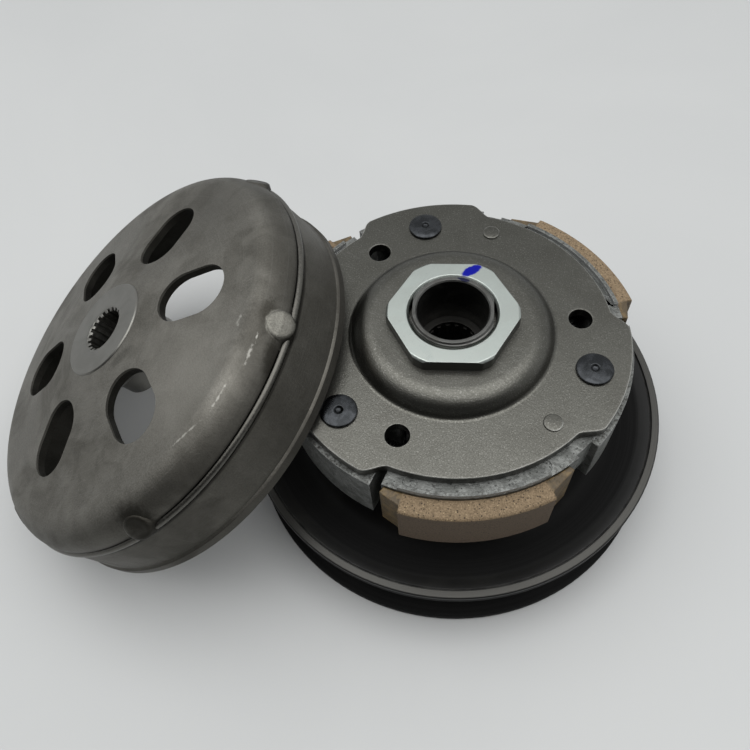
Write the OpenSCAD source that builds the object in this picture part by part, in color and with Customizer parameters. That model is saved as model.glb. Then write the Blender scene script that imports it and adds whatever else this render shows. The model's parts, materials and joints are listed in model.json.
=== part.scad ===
// Driven pulley and centrifugal clutch of a scooter, with the clutch bell leaning on it.
// Z is the pulley's axis and points to the nut. Z = 0 is the surface that it stands on.

/* [Sheaves] */
// Outer diameter of both driven faces
sheave_d = 153.7; // [150:0.1:160]
// Slope of the belt faces, in degrees from flat
sheave_slope = 14; // [13:0.5:15]
// Radius inside which the closed faces lie flat on each other
seat_r = 37; // [35:0.5:38]
// Thickness of each face's sloping disc
sheave_wall = 3.5; // [3:0.1:4]
// Height of the fixed face's rim above the standing surface
rim_lift = 1; // [0.6:0.1:1.5]
// Width of the machined band round the movable face's rim
rim_band_w = 2.7; // [2:0.1:4]
// Height of that band above the disc
rim_band_h = 0.6; // [0.3:0.1:1]
// Gap between the closed faces
face_gap = 0.3; // [0.2:0.05:0.4]

/* [Hub tube] */
// Outer diameter of the tube that the movable face slides on
tube_d = 34; // [33:0.5:35]
// Diameter of the threaded end
thread_d = 28; // [27:0.5:29]
// Distance across the two flats of the threaded end
thread_flats = 25.8; // [25.4:0.1:26.4]
// Diameter of the bore between the bearings
tube_bore_d = 20; // [19:0.5:21]
// Radius of the foot that the pulley stands on
foot_r = 27; // [25:0.5:30]
// Height of the nut end of the tube
tube_top = 81.5; // [81:0.1:83]

/* [Bearings] */
// Bore of the bearings, which is the drive shaft's diameter
shaft_d = 17; // [17:0.5:17.5]
// Outer diameter of the ball bearing
ball_od = 30; // [30:0.5:32]
// Width of the ball bearing
ball_width = 7; // [7:0.5:8]
// Diameter of each ball
ball_d = 3.4; // [3:0.1:3.6]
// Number of balls
ball_count = 12; // [9:1:13]
// Outer diameter of the needle bearing's shell
needle_od = 23; // [22.8:0.1:23.2]
// Length of the needle bearing
needle_length = 12; // [10:0.5:14]
// Diameter of each needle
needle_d = 2; // [1.8:0.1:2]
// Number of needles
needle_count = 18; // [12:1:20]
// Height of the needle bearing's top
needle_top = 62.5; // [62:0.5:72]

/* [Drive plate] */
// Height of the plate's upper face
plate_z = 69.8; // [69.5:0.1:71]
// Thickness of the plate's sheet
plate_t = 3.5; // [3:0.1:3.6]
// Radius of the plate between its lobes
plate_r = 52.9; // [52:0.1:54]
// Radius of the plate at its lobes
lobe_r = 57.8; // [57:0.1:59]
// Height of the dome above the plate
dome_h = 6.2; // [5.8:0.1:7]
// Radius of the dome's foot
dome_r = 34.8; // [34:0.1:36]
// Radius of the tool holes' circle
tool_hole_pitch_r = 42.5; // [41:0.5:43]
// Diameter of each tool hole
tool_hole_d = 7.6; // [7:0.1:8]

/* [Nut] */
// Distance across the nut's flats
nut_flats = 39; // [38:0.5:40]
// Turn of the nut from a corner on +X, in degrees
nut_turn = 2; // [0:1:5]
// Thickness of the nut
nut_t = 4.5; // [4:0.1:5]
// Diameter that the nut's corners are turned to
nut_corner_d = 42.9; // [42:0.1:44.5]

/* [Shoes] */
// Radius of the friction linings at rest
lining_r = 64; // [63:0.1:65]
// Thickness of the linings
lining_t = 6.4; // [5:0.1:7]
// Width of the linings, and height of the shoes' rims
lining_w = 20; // [18:0.5:21]
// Half angle of the lining at full thickness
lining_half = 21.5; // [19:0.5:24]
// Depth of the step at each end of the full thickness
lining_step = 2.1; // [1.5:0.1:2.5]
// Height of the cast lip behind the lining, above the shoe
shoe_lip_h = 1.5; // [1:0.1:2]
// Radius of the pivot pins' circle
pivot_pitch_r = 47; // [46:0.5:48]
// Diameter of the pivot pins
pivot_d = 8; // [7:0.5:9]
// Diameter of the pivot pins' heads
pivot_head_d = 12; // [11:0.5:12.5]
// Radius of the damper pins' circle
damper_pitch_r = 45.5; // [45:0.5:46]
// Diameter of the damper pins
damper_d = 5; // [4.5:0.5:5.5]
// Diameter of the damper rubbers
damper_rubber_d = 9.5; // [9:0.5:10]
// How far a shoe swings out, in degrees
shoe_swing = 4.5; // [4:0.5:4.5]
// Radius of the shoes' heels
heel_r = 59.2; // [58.5:0.1:60]

/* [Cam and spring] */
// Thickness of the cam sleeve's wall
cam_wall = 3; // [2.8:0.1:3.2]
// How far the movable face slides
face_travel = 14; // [10:1:14]
// Wire diameter of the cam sleeve's O-rings
o_ring_wire = 1.6; // [1.4:0.1:1.8]
// Angle that the cam turns the movable face over its travel
cam_turn = 43; // [30:1:45]
// Diameter of the rollers on the guide pins
roller_d = 8; // [7.5:0.1:8.2]
// Wire diameter of the contra spring
spring_wire = 4.2; // [3.8:0.1:4.4]
// Number of turns of the contra spring
spring_turns = 6; // [5:0.5:7]

/* [Bell] */
// Radius of the friction surface inside the bell
bell_inner_r = 68; // [67.6:0.1:68.4]
// Thickness of the bell's wall at its open rim
bell_rim_t = 4.6; // [4:0.1:5]
// Depth of the bell from its face holes to its open rim
bell_depth = 36.6; // [36:0.1:38]
// Thickness of the bell's face
bell_face_t = 3.2; // [3:0.1:3.5]
// Radius of the face holes' circle
face_hole_pitch_r = 39.4; // [38:0.1:40]
// Width of each face hole
face_hole_w = 19; // [17:0.5:20]
// Length of each face hole, measured outwards
face_hole_l = 26; // [22:0.5:27]
// Outer diameter of the bell's splined hub
bell_hub_d = 35; // [33:0.5:36]
// Diameter over the grooves of the bell's spline
spline_d = 16.4; // [16:0.1:17]
// Number of grooves in the spline
spline_count = 20; // [16:1:22]
// Angle that the bell leans over, from flat
bell_tilt = 32.7; // [32.7:0.1:34]
// Fall of the bell's face from its hub to its corner, in degrees
face_fall = 9; // [7:0.5:10]
// Direction in which the bell faces, from the negative X axis
bell_heading = 5.5; // [0:0.5:10]
// Direction of the bell's centre from the pulley's axis, from the negative X axis
bell_side = 3.7; // [0:0.1:8]
// Distance from the pulley's axis at which the bell's open rim crosses the plate's upper face
bell_lean_in = 48.1; // [44:0.1:48.1]

/* [Hidden] */
$fn = 96;
running = 0.05;
clear = 0.3;
seam = 0.02;
eps = 0.01;

sheave_r = sheave_d / 2;
slope = tan(sheave_slope);
fixed_seat_z = rim_lift + sheave_wall + (sheave_r - seat_r) * slope;
move_seat_z = fixed_seat_z + face_gap;
tube_r = tube_d / 2;
thread_r = thread_d / 2;
plate_low = plate_z - plate_t;
dome_top = plate_z + dome_h;
dome_low = dome_top - plate_t;

ball_pitch_r = (shaft_d + ball_od) / 4;
needle_pitch_r = (shaft_d + needle_d) / 2;
needle_track_r = needle_pitch_r + needle_d / 2 + running;

cam_inner = tube_r + running;
cam_outer = cam_inner + cam_wall;
cam_top = dome_low - face_travel - 2 * clear;
seat_inner = cam_outer + running;
seat_wall = 1.3;
seat_flange_r = 29;
face_ledge_z = move_seat_z + 6;
seat_z = face_ledge_z + clear;
seat_flange_t = 1.5;
guide_z = cam_top - 12;
guide_pin_r = 2.5;
guide_pin_end = sqrt(pow(cam_outer, 2) - pow(guide_pin_r, 2)) - running;
roller_end = sqrt(pow(cam_outer, 2) - pow(roller_d / 2, 2)) - running;
guide_start = 20;
o_wire = o_ring_wire / 2;
o_groove = 2.4 * o_wire;
o_groove_r = cam_outer - 2 * o_wire - 2 * seam;
o_ring_low = face_ledge_z + 3.4;
o_ring_high = cam_top - 5;

collar_t = 2.5;
spring_low = seat_z + seat_flange_t;
spring_high = dome_low - collar_t;
spring_mid_r = seat_inner + seat_wall + clear + spring_wire / 2 + 0.1;

shoe_top = plate_low - clear;
shoe_low = shoe_top - lining_w - 1;
lining_low = shoe_top - lining_w - 1;
metal_r = lining_r - lining_t;
shoe_inner_r = 36;
shoe_angles = [39.5, 159.5, 279.5];
toe_angle = -28.4;
heel_angle = 88.4;
pivot_angle = 64.7;
damper_angle = 34.8;
tool_hole_angle = 90.8;
split_angle = 90;
return_spring_r = 42.5;
return_spring_z = shoe_top - 9;
return_coil_r = 2.6;
return_wire_r = 0.6;
hook_reach = 8;
channel_half = return_coil_r + return_wire_r + 1;

hub_r = bell_hub_d / 2;
bell_r = bell_inner_r + bell_rim_t;
corner_r = 10.5;
wall_r = bell_r - 0.8;
corner_s = face_s(wall_r - corner_r * (1 - sin(face_fall))) - corner_r * cos(face_fall);
wire_r = 1.2;
bell_z = bell_r * sin(bell_tilt) + (bell_depth - 0.3) * cos(bell_tilt);
bell_reach = bell_lean_in + bell_depth * sin(bell_tilt)
    + (plate_z / sin(bell_tilt) - bell_r) * cos(bell_tilt);
nub_start = 14.6;
hole_start = 29.1;

// ---- shared shapes ----

// Points of an arc, from angle a0 to a1 about [x, y].
function arc(x, y, r, a0, a1, n = 12) =
    [for (i = [0 : n]) let (a = a0 + (a1 - a0) * i / n) [x + r * cos(a), y + r * sin(a)]];

// A flat ring, from r0 to r1 and from z0 to z1.
module ring(r0, r1, z0, z1) {
    rotate_extrude() translate([r0, z0]) square([r1 - r0, z1 - z0]);
}

// A part of a ring between two angles.
module ring_part(r0, r1, z0, z1, a0, a1) {
    rotate([0, 0, a0]) rotate_extrude(angle = a1 - a0) translate([r0, z0]) square([r1 - r0, z1 - z0]);
}

// A ring of round section.
module hoop(r, wire) {
    rotate_extrude() translate([r, 0]) circle(r = wire, $fn = 32);
}

// Copies of a child round the Z axis.
module around(count, start = 0) {
    for (i = [0 : count - 1]) rotate([0, 0, start + i * 360 / count]) children();
}

// Moves a child to one of the shoes' places.
module at_shoe(k, angle = 0) {
    rotate([0, 0, shoe_angles[k] + angle]) children();
}

// Sweeps a round wire along the points of a path.
function across(s, d) = let (t = s - (s * d) * d) t / norm(t);

module wire_along(path, r, sides) {
    n = len(path);
    dir = [for (i = [0 : n - 1]) let (d = path[min(i + 1, n - 1)] - path[max(i - 1, 0)]) d / norm(d)];
    side = [for (i = 0, s = across([0.1, 0.2, 1], dir[0]); i < n;
        i = i + 1, s = across(s, dir[min(i, n - 1)])) s];
    pts = [for (i = [0 : n - 1], j = [0 : sides - 1]) let (a = 360 * j / sides)
        path[i] + r * (cos(a) * side[i] + sin(a) * cross(dir[i], side[i]))];
    walls = [for (i = [0 : n - 2], j = [0 : sides - 1]) let (k = (j + 1) % sides)
        [i * sides + k, i * sides + j, (i + 1) * sides + j, (i + 1) * sides + k]];
    start = [[for (j = [0 : sides - 1]) j]];
    finish = [[for (j = [sides - 1 : -1 : 0]) (n - 1) * sides + j]];
    polyhedron(points = pts, faces = concat(start, walls, finish));
}

// ---- sheaves ----

// Height of the fixed face's belt surface at radius r, and of the movable one's.
function fixed_belt_z(r) = fixed_seat_z - (r - seat_r) * slope;
function move_belt_z(r) = move_seat_z + (r - seat_r) * slope;

module fixed_face() {
    inner = tube_r + 4;
    color([0.11, 0.11, 0.1]) rotate_extrude() polygon([
        [inner, fixed_seat_z - 5], [foot_r + 1, fixed_seat_z - 5],
        [seat_r + 2, fixed_belt_z(seat_r + 2) - sheave_wall],
        [sheave_r - 4, fixed_belt_z(sheave_r - 4) - sheave_wall],
        [sheave_r - 3.4, rim_lift], [sheave_r - 0.5, rim_lift], [sheave_r, rim_lift + 0.5],
        [sheave_r, fixed_belt_z(sheave_r) - 0.5], [sheave_r - 0.5, fixed_belt_z(sheave_r - 0.5)],
        [seat_r, fixed_seat_z], [inner, fixed_seat_z]]);
}

module movable_face() {
    rim_top = move_belt_z(sheave_r) + sheave_wall - 0.2;
    band = sheave_r - rim_band_w;
    ledge = seat_flange_r + 2;
    color([0.13, 0.13, 0.12]) rotate_extrude() polygon([
        [cam_outer, move_seat_z], [seat_r, move_seat_z],
        [sheave_r - 0.5, move_belt_z(sheave_r - 0.5)], [sheave_r, move_belt_z(sheave_r) + 0.5],
        [sheave_r, rim_top + rim_band_h - 0.5], [sheave_r - 0.5, rim_top + rim_band_h],
        [band, rim_top + rim_band_h], [band, rim_top - 0.4], [band - 0.5, rim_top - 0.4],
        [band - 0.5, rim_top], [band - 3, rim_top - 0.3],
        [seat_r + 5, move_belt_z(seat_r + 5) + sheave_wall + 0.4],
        [ledge, face_ledge_z - 0.8], [ledge - 0.8, face_ledge_z], [cam_outer, face_ledge_z]]);
}

// ---- hub tube and bearings ----

module hub_tube() {
    seat_r0 = ball_od / 2;
    groove_z = ball_width + 0.1;
    needle_r = needle_od / 2 + seam;
    bore = tube_bore_d / 2;
    color([0.5, 0.5, 0.5]) difference() {
        rotate_extrude() polygon([
            [seat_r0, 0.6], [seat_r0 + 0.6, 0], [foot_r - 1, 0], [foot_r, 1],
            [foot_r, fixed_seat_z - 5 - seam], [tube_r + 4 - seam, fixed_seat_z - 5 - seam],
            [tube_r + 4 - seam, fixed_seat_z], [tube_r, fixed_seat_z],
            [tube_r, dome_low - 0.5], [tube_r - 0.5, dome_low - eps], [thread_r, dome_low - eps],
            [thread_r, tube_top - 1], [thread_r - 1, tube_top],
            [needle_r + 0.5, tube_top], [needle_r, tube_top - 0.5],
            [needle_r, needle_top - needle_length - seam], [bore, needle_top - needle_length - seam - 0.5],
            [bore, groove_z + 3], [seat_r0 - 3, groove_z + 1.3], [seat_r0, groove_z + 1.3],
            [seat_r0, groove_z + 1.2], [seat_r0 + 1, groove_z + 1.2], [seat_r0 + 1, groove_z],
            [seat_r0, groove_z]]);
        for (side = [-1, 1]) translate([side * (thread_flats / 2 + 5), 0, (dome_low + tube_top) / 2 + 1])
            cube([10, thread_d, tube_top - dome_low + 2], center = true);
        around(3, guide_start) translate([0, 0, guide_z]) rotate([0, 90, 0])
            cylinder(r = guide_pin_r + seam, h = tube_r + 1);
    }
}

module bearing_outer() {
    color([0.7, 0.7, 0.72]) difference() {
        ring(ball_od / 2 - 2, ball_od / 2 - seam, 0, ball_width);
        translate([0, 0, ball_width / 2]) hoop(ball_pitch_r, ball_d / 2 + running);
    }
}

module bearing_inner() {
    color([0.7, 0.7, 0.72]) difference() {
        ring(shaft_d / 2, shaft_d / 2 + 1.9, 0, ball_width);
        translate([0, 0, ball_width / 2]) hoop(ball_pitch_r, ball_d / 2 + running);
    }
}

module bearing_balls() {
    color([0.8, 0.8, 0.82]) around(ball_count) translate([ball_pitch_r, 0, ball_width / 2])
        sphere(d = ball_d, $fn = 32);
}

module bearing_cage() {
    color([0.55, 0.42, 0.2]) difference() {
        ring(ball_pitch_r - 0.5, ball_pitch_r + 0.5, ball_width / 2 - 1.1, ball_width / 2 + 2.1);
        around(ball_count) translate([ball_pitch_r - ball_d / 2, 0, ball_width / 2]) rotate([0, 90, 0])
            cylinder(d = ball_d + 0.06, h = ball_d, $fn = 32);
    }
}

module bearing_shields() {
    color([0.5, 0.5, 0.52]) for (z = [0.35, ball_width - 0.75])
        ring(shaft_d / 2 + 2.15, ball_od / 2 - 2 - seam, z, z + 0.4);
}

module snap_ring() {
    r = ball_od / 2;
    z = ball_width + 0.15;
    color([0.3, 0.3, 0.3]) difference() {
        union() {
            ring_part(r - 1.4, r + 0.7, z, z + 1, 15, 345);
            for (a = [19, -19]) rotate([0, 0, a]) translate([r - 1.9, 0, z + 0.1]) cylinder(r = 1.7, h = 0.8);
        }
        for (a = [19, -19]) rotate([0, 0, a]) translate([r - 2.1, 0, z - 1]) cylinder(r = 0.7, h = 3);
    }
}

module needle_shell() {
    r = needle_od / 2;
    low = needle_top - needle_length;
    lip = shaft_d / 2 + 0.35;
    color([0.6, 0.6, 0.62]) rotate_extrude() polygon([
        [lip, low], [r, low], [r, needle_top], [lip, needle_top], [lip, needle_top - 0.8],
        [needle_track_r, needle_top - 0.8], [needle_track_r, low + 0.8], [lip, low + 0.8]]);
}

module needles() {
    color([0.8, 0.8, 0.82]) around(needle_count)
        translate([needle_pitch_r, 0, needle_top - needle_length + 1.7])
            cylinder(d = needle_d, h = needle_length - 3.4, $fn = 32);
}

module needle_cage() {
    low = needle_top - needle_length + 1;
    color([0.35, 0.35, 0.35]) difference() {
        ring(needle_pitch_r - 0.5, needle_pitch_r + 0.5, low, needle_top - 1);
        around(needle_count) translate([needle_pitch_r, 0, low + 0.7])
            cylinder(d = needle_d + 0.04, h = needle_length - 3.4, $fn = 32);
    }
}

// ---- cam, spring seat and spring ----

module cam_sleeve() {
    steps = 14;
    color([0.4, 0.4, 0.4]) difference() {
        rotate_extrude() polygon([
            [cam_inner + 2, move_seat_z], [cam_outer - seam, move_seat_z],
            [cam_outer - seam, face_ledge_z + clear / 2], [cam_outer, face_ledge_z + clear / 2],
            [cam_outer, o_ring_low - o_groove / 2], [o_groove_r, o_ring_low - o_groove / 2],
            [o_groove_r, o_ring_low + o_groove / 2], [cam_outer, o_ring_low + o_groove / 2],
            [cam_outer, o_ring_high - o_groove / 2], [o_groove_r, o_ring_high - o_groove / 2],
            [o_groove_r, o_ring_high + o_groove / 2], [cam_outer, o_ring_high + o_groove / 2],
            [cam_outer, cam_top], [cam_inner + 2, cam_top], [cam_inner + 2, cam_top - 2.5],
            [cam_inner, cam_top - 2.5], [cam_inner, move_seat_z + 2.5], [cam_inner + 2, move_seat_z + 2.5]]);
        around(3, guide_start) for (i = [0 : steps])
            rotate([0, 0, cam_turn * i / steps]) translate([tube_r - 1, 0, guide_z - face_travel * i / steps])
                rotate([0, 90, 0]) cylinder(d = roller_d + 0.5, h = cam_wall + 3, $fn = 48);
    }
}

module cam_seals() {
    color([0.1, 0.1, 0.1]) for (z = [move_seat_z + 0.1, cam_top - 2.4])
        ring(cam_inner, cam_inner + 2 - seam, z, z + 2.3);
}

module cam_o_rings() {
    color([0.08, 0.08, 0.08]) for (z = [o_ring_low, o_ring_high])
        translate([0, 0, z]) hoop(o_groove_r + o_wire + seam, o_wire);
}

module guide_pins() {
    color([0.7, 0.7, 0.7]) around(3, guide_start) translate([tube_bore_d / 2 + 1, 0, guide_z])
        rotate([0, 90, 0]) cylinder(r = guide_pin_r, h = guide_pin_end - tube_bore_d / 2 - 1);
}

module guide_rollers() {
    color([0.6, 0.6, 0.6]) around(3, guide_start) translate([tube_r + 0.35, 0, guide_z])
        rotate([0, 90, 0]) difference() {
            cylinder(d = roller_d, h = roller_end - tube_r - 0.35);
            translate([0, 0, -1]) cylinder(r = guide_pin_r + running, h = 5);
        }
}

module spring_seat() {
    top = cam_top - 1;
    outer = seat_inner + seat_wall;
    color([0.45, 0.45, 0.45]) rotate_extrude() polygon([
        [seat_inner, seat_z], [seat_flange_r, seat_z], [seat_flange_r, seat_z + seat_flange_t + 2],
        [seat_flange_r - 1.2, seat_z + seat_flange_t + 2], [seat_flange_r - 1.2, seat_z + seat_flange_t],
        [outer, seat_z + seat_flange_t], [outer, top], [seat_inner, top]]);
}

module contra_spring() {
    steps = 26 * spring_turns;
    r = spring_wire / 2;
    rise = spring_high - spring_low - spring_wire - 0.1;
    flat_part = 0.75 / spring_turns;
    path = [for (i = [0 : steps]) let (
            t = i / steps,
            climb = min(max((t - flat_part) / (1 - 2 * flat_part), 0), 1),
            lift = climb * (rise - 2 * spring_wire) + spring_wire * (min(t, flat_part)
                + max(t - 1 + flat_part, 0)) / flat_part,
            a = 360 * spring_turns * t)
        [spring_mid_r * cos(a), spring_mid_r * sin(a), spring_low + r + 0.05 + lift]];
    color([0.55, 0.55, 0.57]) wire_along(path, r, 10);
}

module spring_collar() {
    inner = seat_inner + seat_wall + clear;
    color([0.12, 0.12, 0.12]) ring(inner, spring_mid_r + spring_wire / 2 + 0.4, spring_high, dome_low - eps);
}

// ---- drive plate and nut ----

// Outline radius of the plate at angle a: three lobes, joined to the rest by smooth steps.
function step(x) = let (t = min(max(x, 0), 1)) t * t * (3 - 2 * t);
function lobe(d) = step((d + 27) / 8) * step((27.5 - d) / 8);
function lobe_sum(a) = lobe(turn(a, 104.2)) + lobe(turn(a, 224.2)) + lobe(turn(a, -15.8));
function turn(a, b) = (((a - b) % 360) + 540) % 360 - 180;
function plate_edge(a) = plate_r + (lobe_r - plate_r) * lobe_sum(a);

module drive_plate() {
    fillet = 1.8;
    shoulder = 8;
    under = 4;
    turn_r = dome_r - 9.3;
    color([0.38, 0.37, 0.35]) difference() {
        union() {
            difference() {
                translate([0, 0, plate_low]) linear_extrude(plate_t)
                    polygon([for (a = [0 : 1 : 359]) plate_edge(a) * [cos(a), sin(a)]]);
                translate([0, 0, plate_low - 1]) cylinder(r = dome_r, h = plate_t + 2);
            }
            rotate_extrude() polygon(concat(
                [[dome_r + 3, plate_low], [dome_r + 3, plate_z]],
                arc(dome_r - 0.15, plate_z + fillet, fillet, 270, 205, 5),
                arc(turn_r, dome_top - shoulder, shoulder, 25, 90, 10),
                [[thread_r - 3, dome_top], [thread_r - 3, dome_low]],
                arc(turn_r + 1, dome_low - under, under, 90, 20, 6),
                [[turn_r + under + 2, plate_low]]));
        }
        intersection() {
            translate([0, 0, dome_low - 1]) cylinder(r = thread_r + running, h = plate_t + 2);
            translate([0, 0, dome_low]) cube([thread_flats + 2 * running, thread_d + 2, 4 * plate_t],
                center = true);
        }
        around(3, shoe_angles[0] + pivot_angle) translate([pivot_pitch_r, 0, plate_low - 1])
            cylinder(d = pivot_d + 2 * seam, h = plate_t + 2);
        around(3, shoe_angles[0] + damper_angle) translate([damper_pitch_r, 0, plate_low - 1])
            cylinder(d = damper_d + 2 * seam, h = plate_t + 2);
        around(3, shoe_angles[0] + split_angle) translate([tool_hole_pitch_r, 0, plate_low - 1])
            cylinder(d = tool_hole_d, h = plate_t + 2);
    }
}

module hub_nut() {
    corner = nut_flats / 2 / cos(30);
    color([0.75, 0.78, 0.78]) difference() {
        intersection() {
            translate([0, 0, dome_top]) rotate([0, 0, nut_turn]) cylinder(r = corner, h = nut_t, $fn = 6);
            rotate_extrude() polygon([[0, dome_top - 1], [nut_corner_d / 2, dome_top - 1],
                [nut_corner_d / 2, dome_top + nut_t - 0.6],
                [nut_corner_d / 2 - 0.7, dome_top + nut_t], [0, dome_top + nut_t]]);
        }
        translate([0, 0, dome_top - 1]) cylinder(r = thread_r + running, h = nut_t + 2);
        translate([0, 0, dome_top + nut_t - 0.8]) cylinder(r1 = thread_r + running,
            r2 = thread_r + 1.3, h = 1.25);
    }
}

// ---- pins ----

module pivot_pins() {
    r = pivot_d / 2;
    head = pivot_head_d / 2;
    foot = shoe_low - 3;
    color([0.27, 0.3, 0.34]) around(3, shoe_angles[0] + pivot_angle) translate([pivot_pitch_r, 0, 0])
        rotate_extrude() polygon([
            [0, foot], [r - 0.6, foot], [r, foot + 0.6], [r, foot + 1.2], [r - 1, foot + 1.2],
            [r - 1, foot + 2.3], [r, foot + 2.3], [r, plate_z + seam], [head - 0.5, plate_z + seam],
            [head, plate_z + 0.5], [head - 0.3, plate_z + 0.9], [head - 1.6, plate_z + 1.25],
            [1.5, plate_z + 1.4], [0.8, plate_z + 0.7], [0, plate_z + 0.6]]);
}

module pivot_clips() {
    r = pivot_d / 2 - 1 + seam;
    z = shoe_low - 3 + 1.25;
    color([0.2, 0.2, 0.2]) around(3, shoe_angles[0] + pivot_angle) translate([pivot_pitch_r, 0, 0])
        ring_part(r, r + 3.2, z, z + 1, 30, 330);
}

module damper_pins() {
    r = damper_d / 2;
    low = shoe_low + 6;
    color([0.4, 0.4, 0.4]) around(3, shoe_angles[0] + damper_angle) translate([damper_pitch_r, 0, 0])
        rotate_extrude() polygon([[0, low], [r - 0.4, low], [r, low + 0.4], [r, plate_z],
            [r + 0.5, plate_z], [r + 0.5, plate_z + 0.3], [r, plate_z + 0.6], [0, plate_z + 0.7]]);
}

module damper_rubbers() {
    low = shoe_low + 6.5;
    color([0.06, 0.06, 0.06]) around(3, shoe_angles[0] + damper_angle) translate([damper_pitch_r, 0, 0])
        ring(damper_d / 2 + seam, damper_rubber_d / 2, low, plate_low - seam);
}

// ---- shoes ----

// The slot that lets the damper rubber stay still while the shoe swings about its pivot.
module damper_slot() {
    pivot = pivot_pitch_r * [cos(pivot_angle), sin(pivot_angle), 0];
    translate(pivot) for (i = [0 : 4]) rotate([0, 0, -(shoe_swing + 0.5) * i / 4]) translate(-pivot)
        rotate([0, 0, damper_angle]) translate([damper_pitch_r, 0, shoe_low - 1])
            cylinder(d = damper_rubber_d + 2 * clear, h = lining_w + 4, $fn = 48);
}

// Open-topped channels at both ends of the shoe, each with a post for a return spring's hook.
module at_split(angle, y) {
    rotate([0, 0, angle]) translate([return_spring_r, y, 0]) children();
}

module spring_channels() {
    depth = hook_reach + 3.5;
    low = return_spring_z - channel_half;
    at_split(split_angle - 120, depth / 2) translate([-channel_half, -depth / 2 - 5, low])
        cube([2 * channel_half, depth + 5, lining_w]);
    at_split(split_angle, -depth / 2) translate([-channel_half, -depth / 2, low])
        cube([2 * channel_half, depth + 5, lining_w]);
}

module spring_posts() {
    low = return_spring_z - channel_half - 1;
    at_split(split_angle - 120, hook_reach) translate([0, 0, low])
        cylinder(r = 1.5, h = return_spring_z + 1.6 - low, $fn = 32);
    at_split(split_angle, -hook_reach) translate([0, 0, low])
        cylinder(r = 1.5, h = return_spring_z + 1.6 - low, $fn = 32);
}

module shoe(k) {
    web_low = shoe_low + 7;
    color([0.68, 0.68, 0.68]) at_shoe(k) {
        difference() {
            union() {
                ring_part(metal_r - 7, metal_r, lining_low, shoe_top, toe_angle, 34);
                ring_part(shoe_inner_r, metal_r - 1, web_low, shoe_top, toe_angle, heel_angle);
                ring_part(shoe_inner_r, shoe_inner_r + 4, shoe_low + 2, shoe_top, toe_angle + 16, 40);
                ring_part(shoe_inner_r + 1, heel_r, shoe_low, shoe_top - 0.4, 41, heel_angle);
                ring_part(metal_r - 1.4, metal_r - 0.1, shoe_top - 1, shoe_top + shoe_lip_h,
                    -lining_half - 2, lining_half + 2);
            }
            rotate([0, 0, pivot_angle]) translate([pivot_pitch_r, 0, shoe_low - 1])
                cylinder(r = pivot_d / 2 + running, h = lining_w + 4);
            damper_slot();
            for (a = [-20.3, 23.5]) rotate([0, 0, a]) translate([metal_r - 3.6, 0, shoe_top - 0.25])
                cylinder(d = 4.4, h = 1, $fn = 32);
            spring_channels();
        }
        spring_posts();
    }
}

module shoe_1() { shoe(0); }
module shoe_2() { shoe(1); }
module shoe_3() { shoe(2); }

// A lining: full thickness in the middle, with a step and a taper towards each end.
module lining(k) {
    top = lining_low + lining_w;
    inner = metal_r + seam;
    toe_tip = [metal_r + 2.2, lining_half + 6.8];
    heel_tip = [metal_r + 1.8, lining_half + 9.4];
    low = [lining_r - lining_step, lining_half + 0.2];
    far = [lining_r + 16, lining_half];
    color([0.62, 0.5, 0.33]) at_shoe(k) intersection() {
        rotate_extrude() polygon([[inner, lining_low], [lining_r - 0.7, lining_low],
            [lining_r, lining_low + 0.7], [lining_r, top - 0.7], [lining_r - 0.7, top], [inner, top]]);
        translate([0, 0, lining_low]) linear_extrude(lining_w) polygon(concat([[20, 0]],
            [for (p = [toe_tip, low, far]) p[0] * [cos(p[1]), -sin(p[1])]],
            [for (p = [far, low, heel_tip]) p[0] * [cos(p[1]), sin(p[1])]]));
    }
}

module lining_1() { lining(0); }
module lining_2() { lining(1); }
module lining_3() { lining(2); }

// Coil between two neighbouring shoes, with a hook round a post at each end.
module return_spring(k) {
    turns = 7.5;
    steps = 12 * turns;
    reach = hook_reach - 3.1;
    hook_r = 1.5 + 0.2 + return_wire_r;
    hook = [for (a = [35 : 29 : 325]) [hook_r * sin(a), -hook_reach + hook_r * cos(a), 0]];
    coil = [for (i = [0 : steps]) let (a = 360 * turns * i / steps)
        [-return_coil_r * cos(a), reach * (2 * i / steps - 1), return_coil_r * sin(a)]];
    far_hook = [for (i = [len(hook) - 1 : -1 : 0]) [-hook[i][0], -hook[i][1], 0]];
    color([0.6, 0.6, 0.62]) at_shoe(k) at_split(split_angle - 120, 0) translate([0, 0, return_spring_z])
        wire_along(concat(hook, coil, far_hook), return_wire_r, 6);
}

module return_spring_1() { return_spring(0); }
module return_spring_2() { return_spring(1); }
module return_spring_3() { return_spring(2); }

// ---- bell ----

// Stands the bell on its rim's edge, leaning towards the pulley.
module at_bell() {
    translate([-bell_reach * cos(bell_side), -bell_reach * sin(bell_side), bell_z])
        rotate([0, 0, bell_heading - 90]) rotate([bell_tilt, 0, 0]) children();
}

// Height of the bell's outer face at radius r, from the circle of its holes.
function face_s(r) = (face_hole_pitch_r - r) * tan(face_fall);

module bell_nubs(grow) {
    around(6, nub_start) translate([wall_r - 0.7, 0, corner_s + 2.2]) rotate([0, 58, 0])
        translate([0, 0, -1.2 - grow]) cylinder(r = 4.6 + grow, h = 2.6 + grow, $fn = 48);
}

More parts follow.
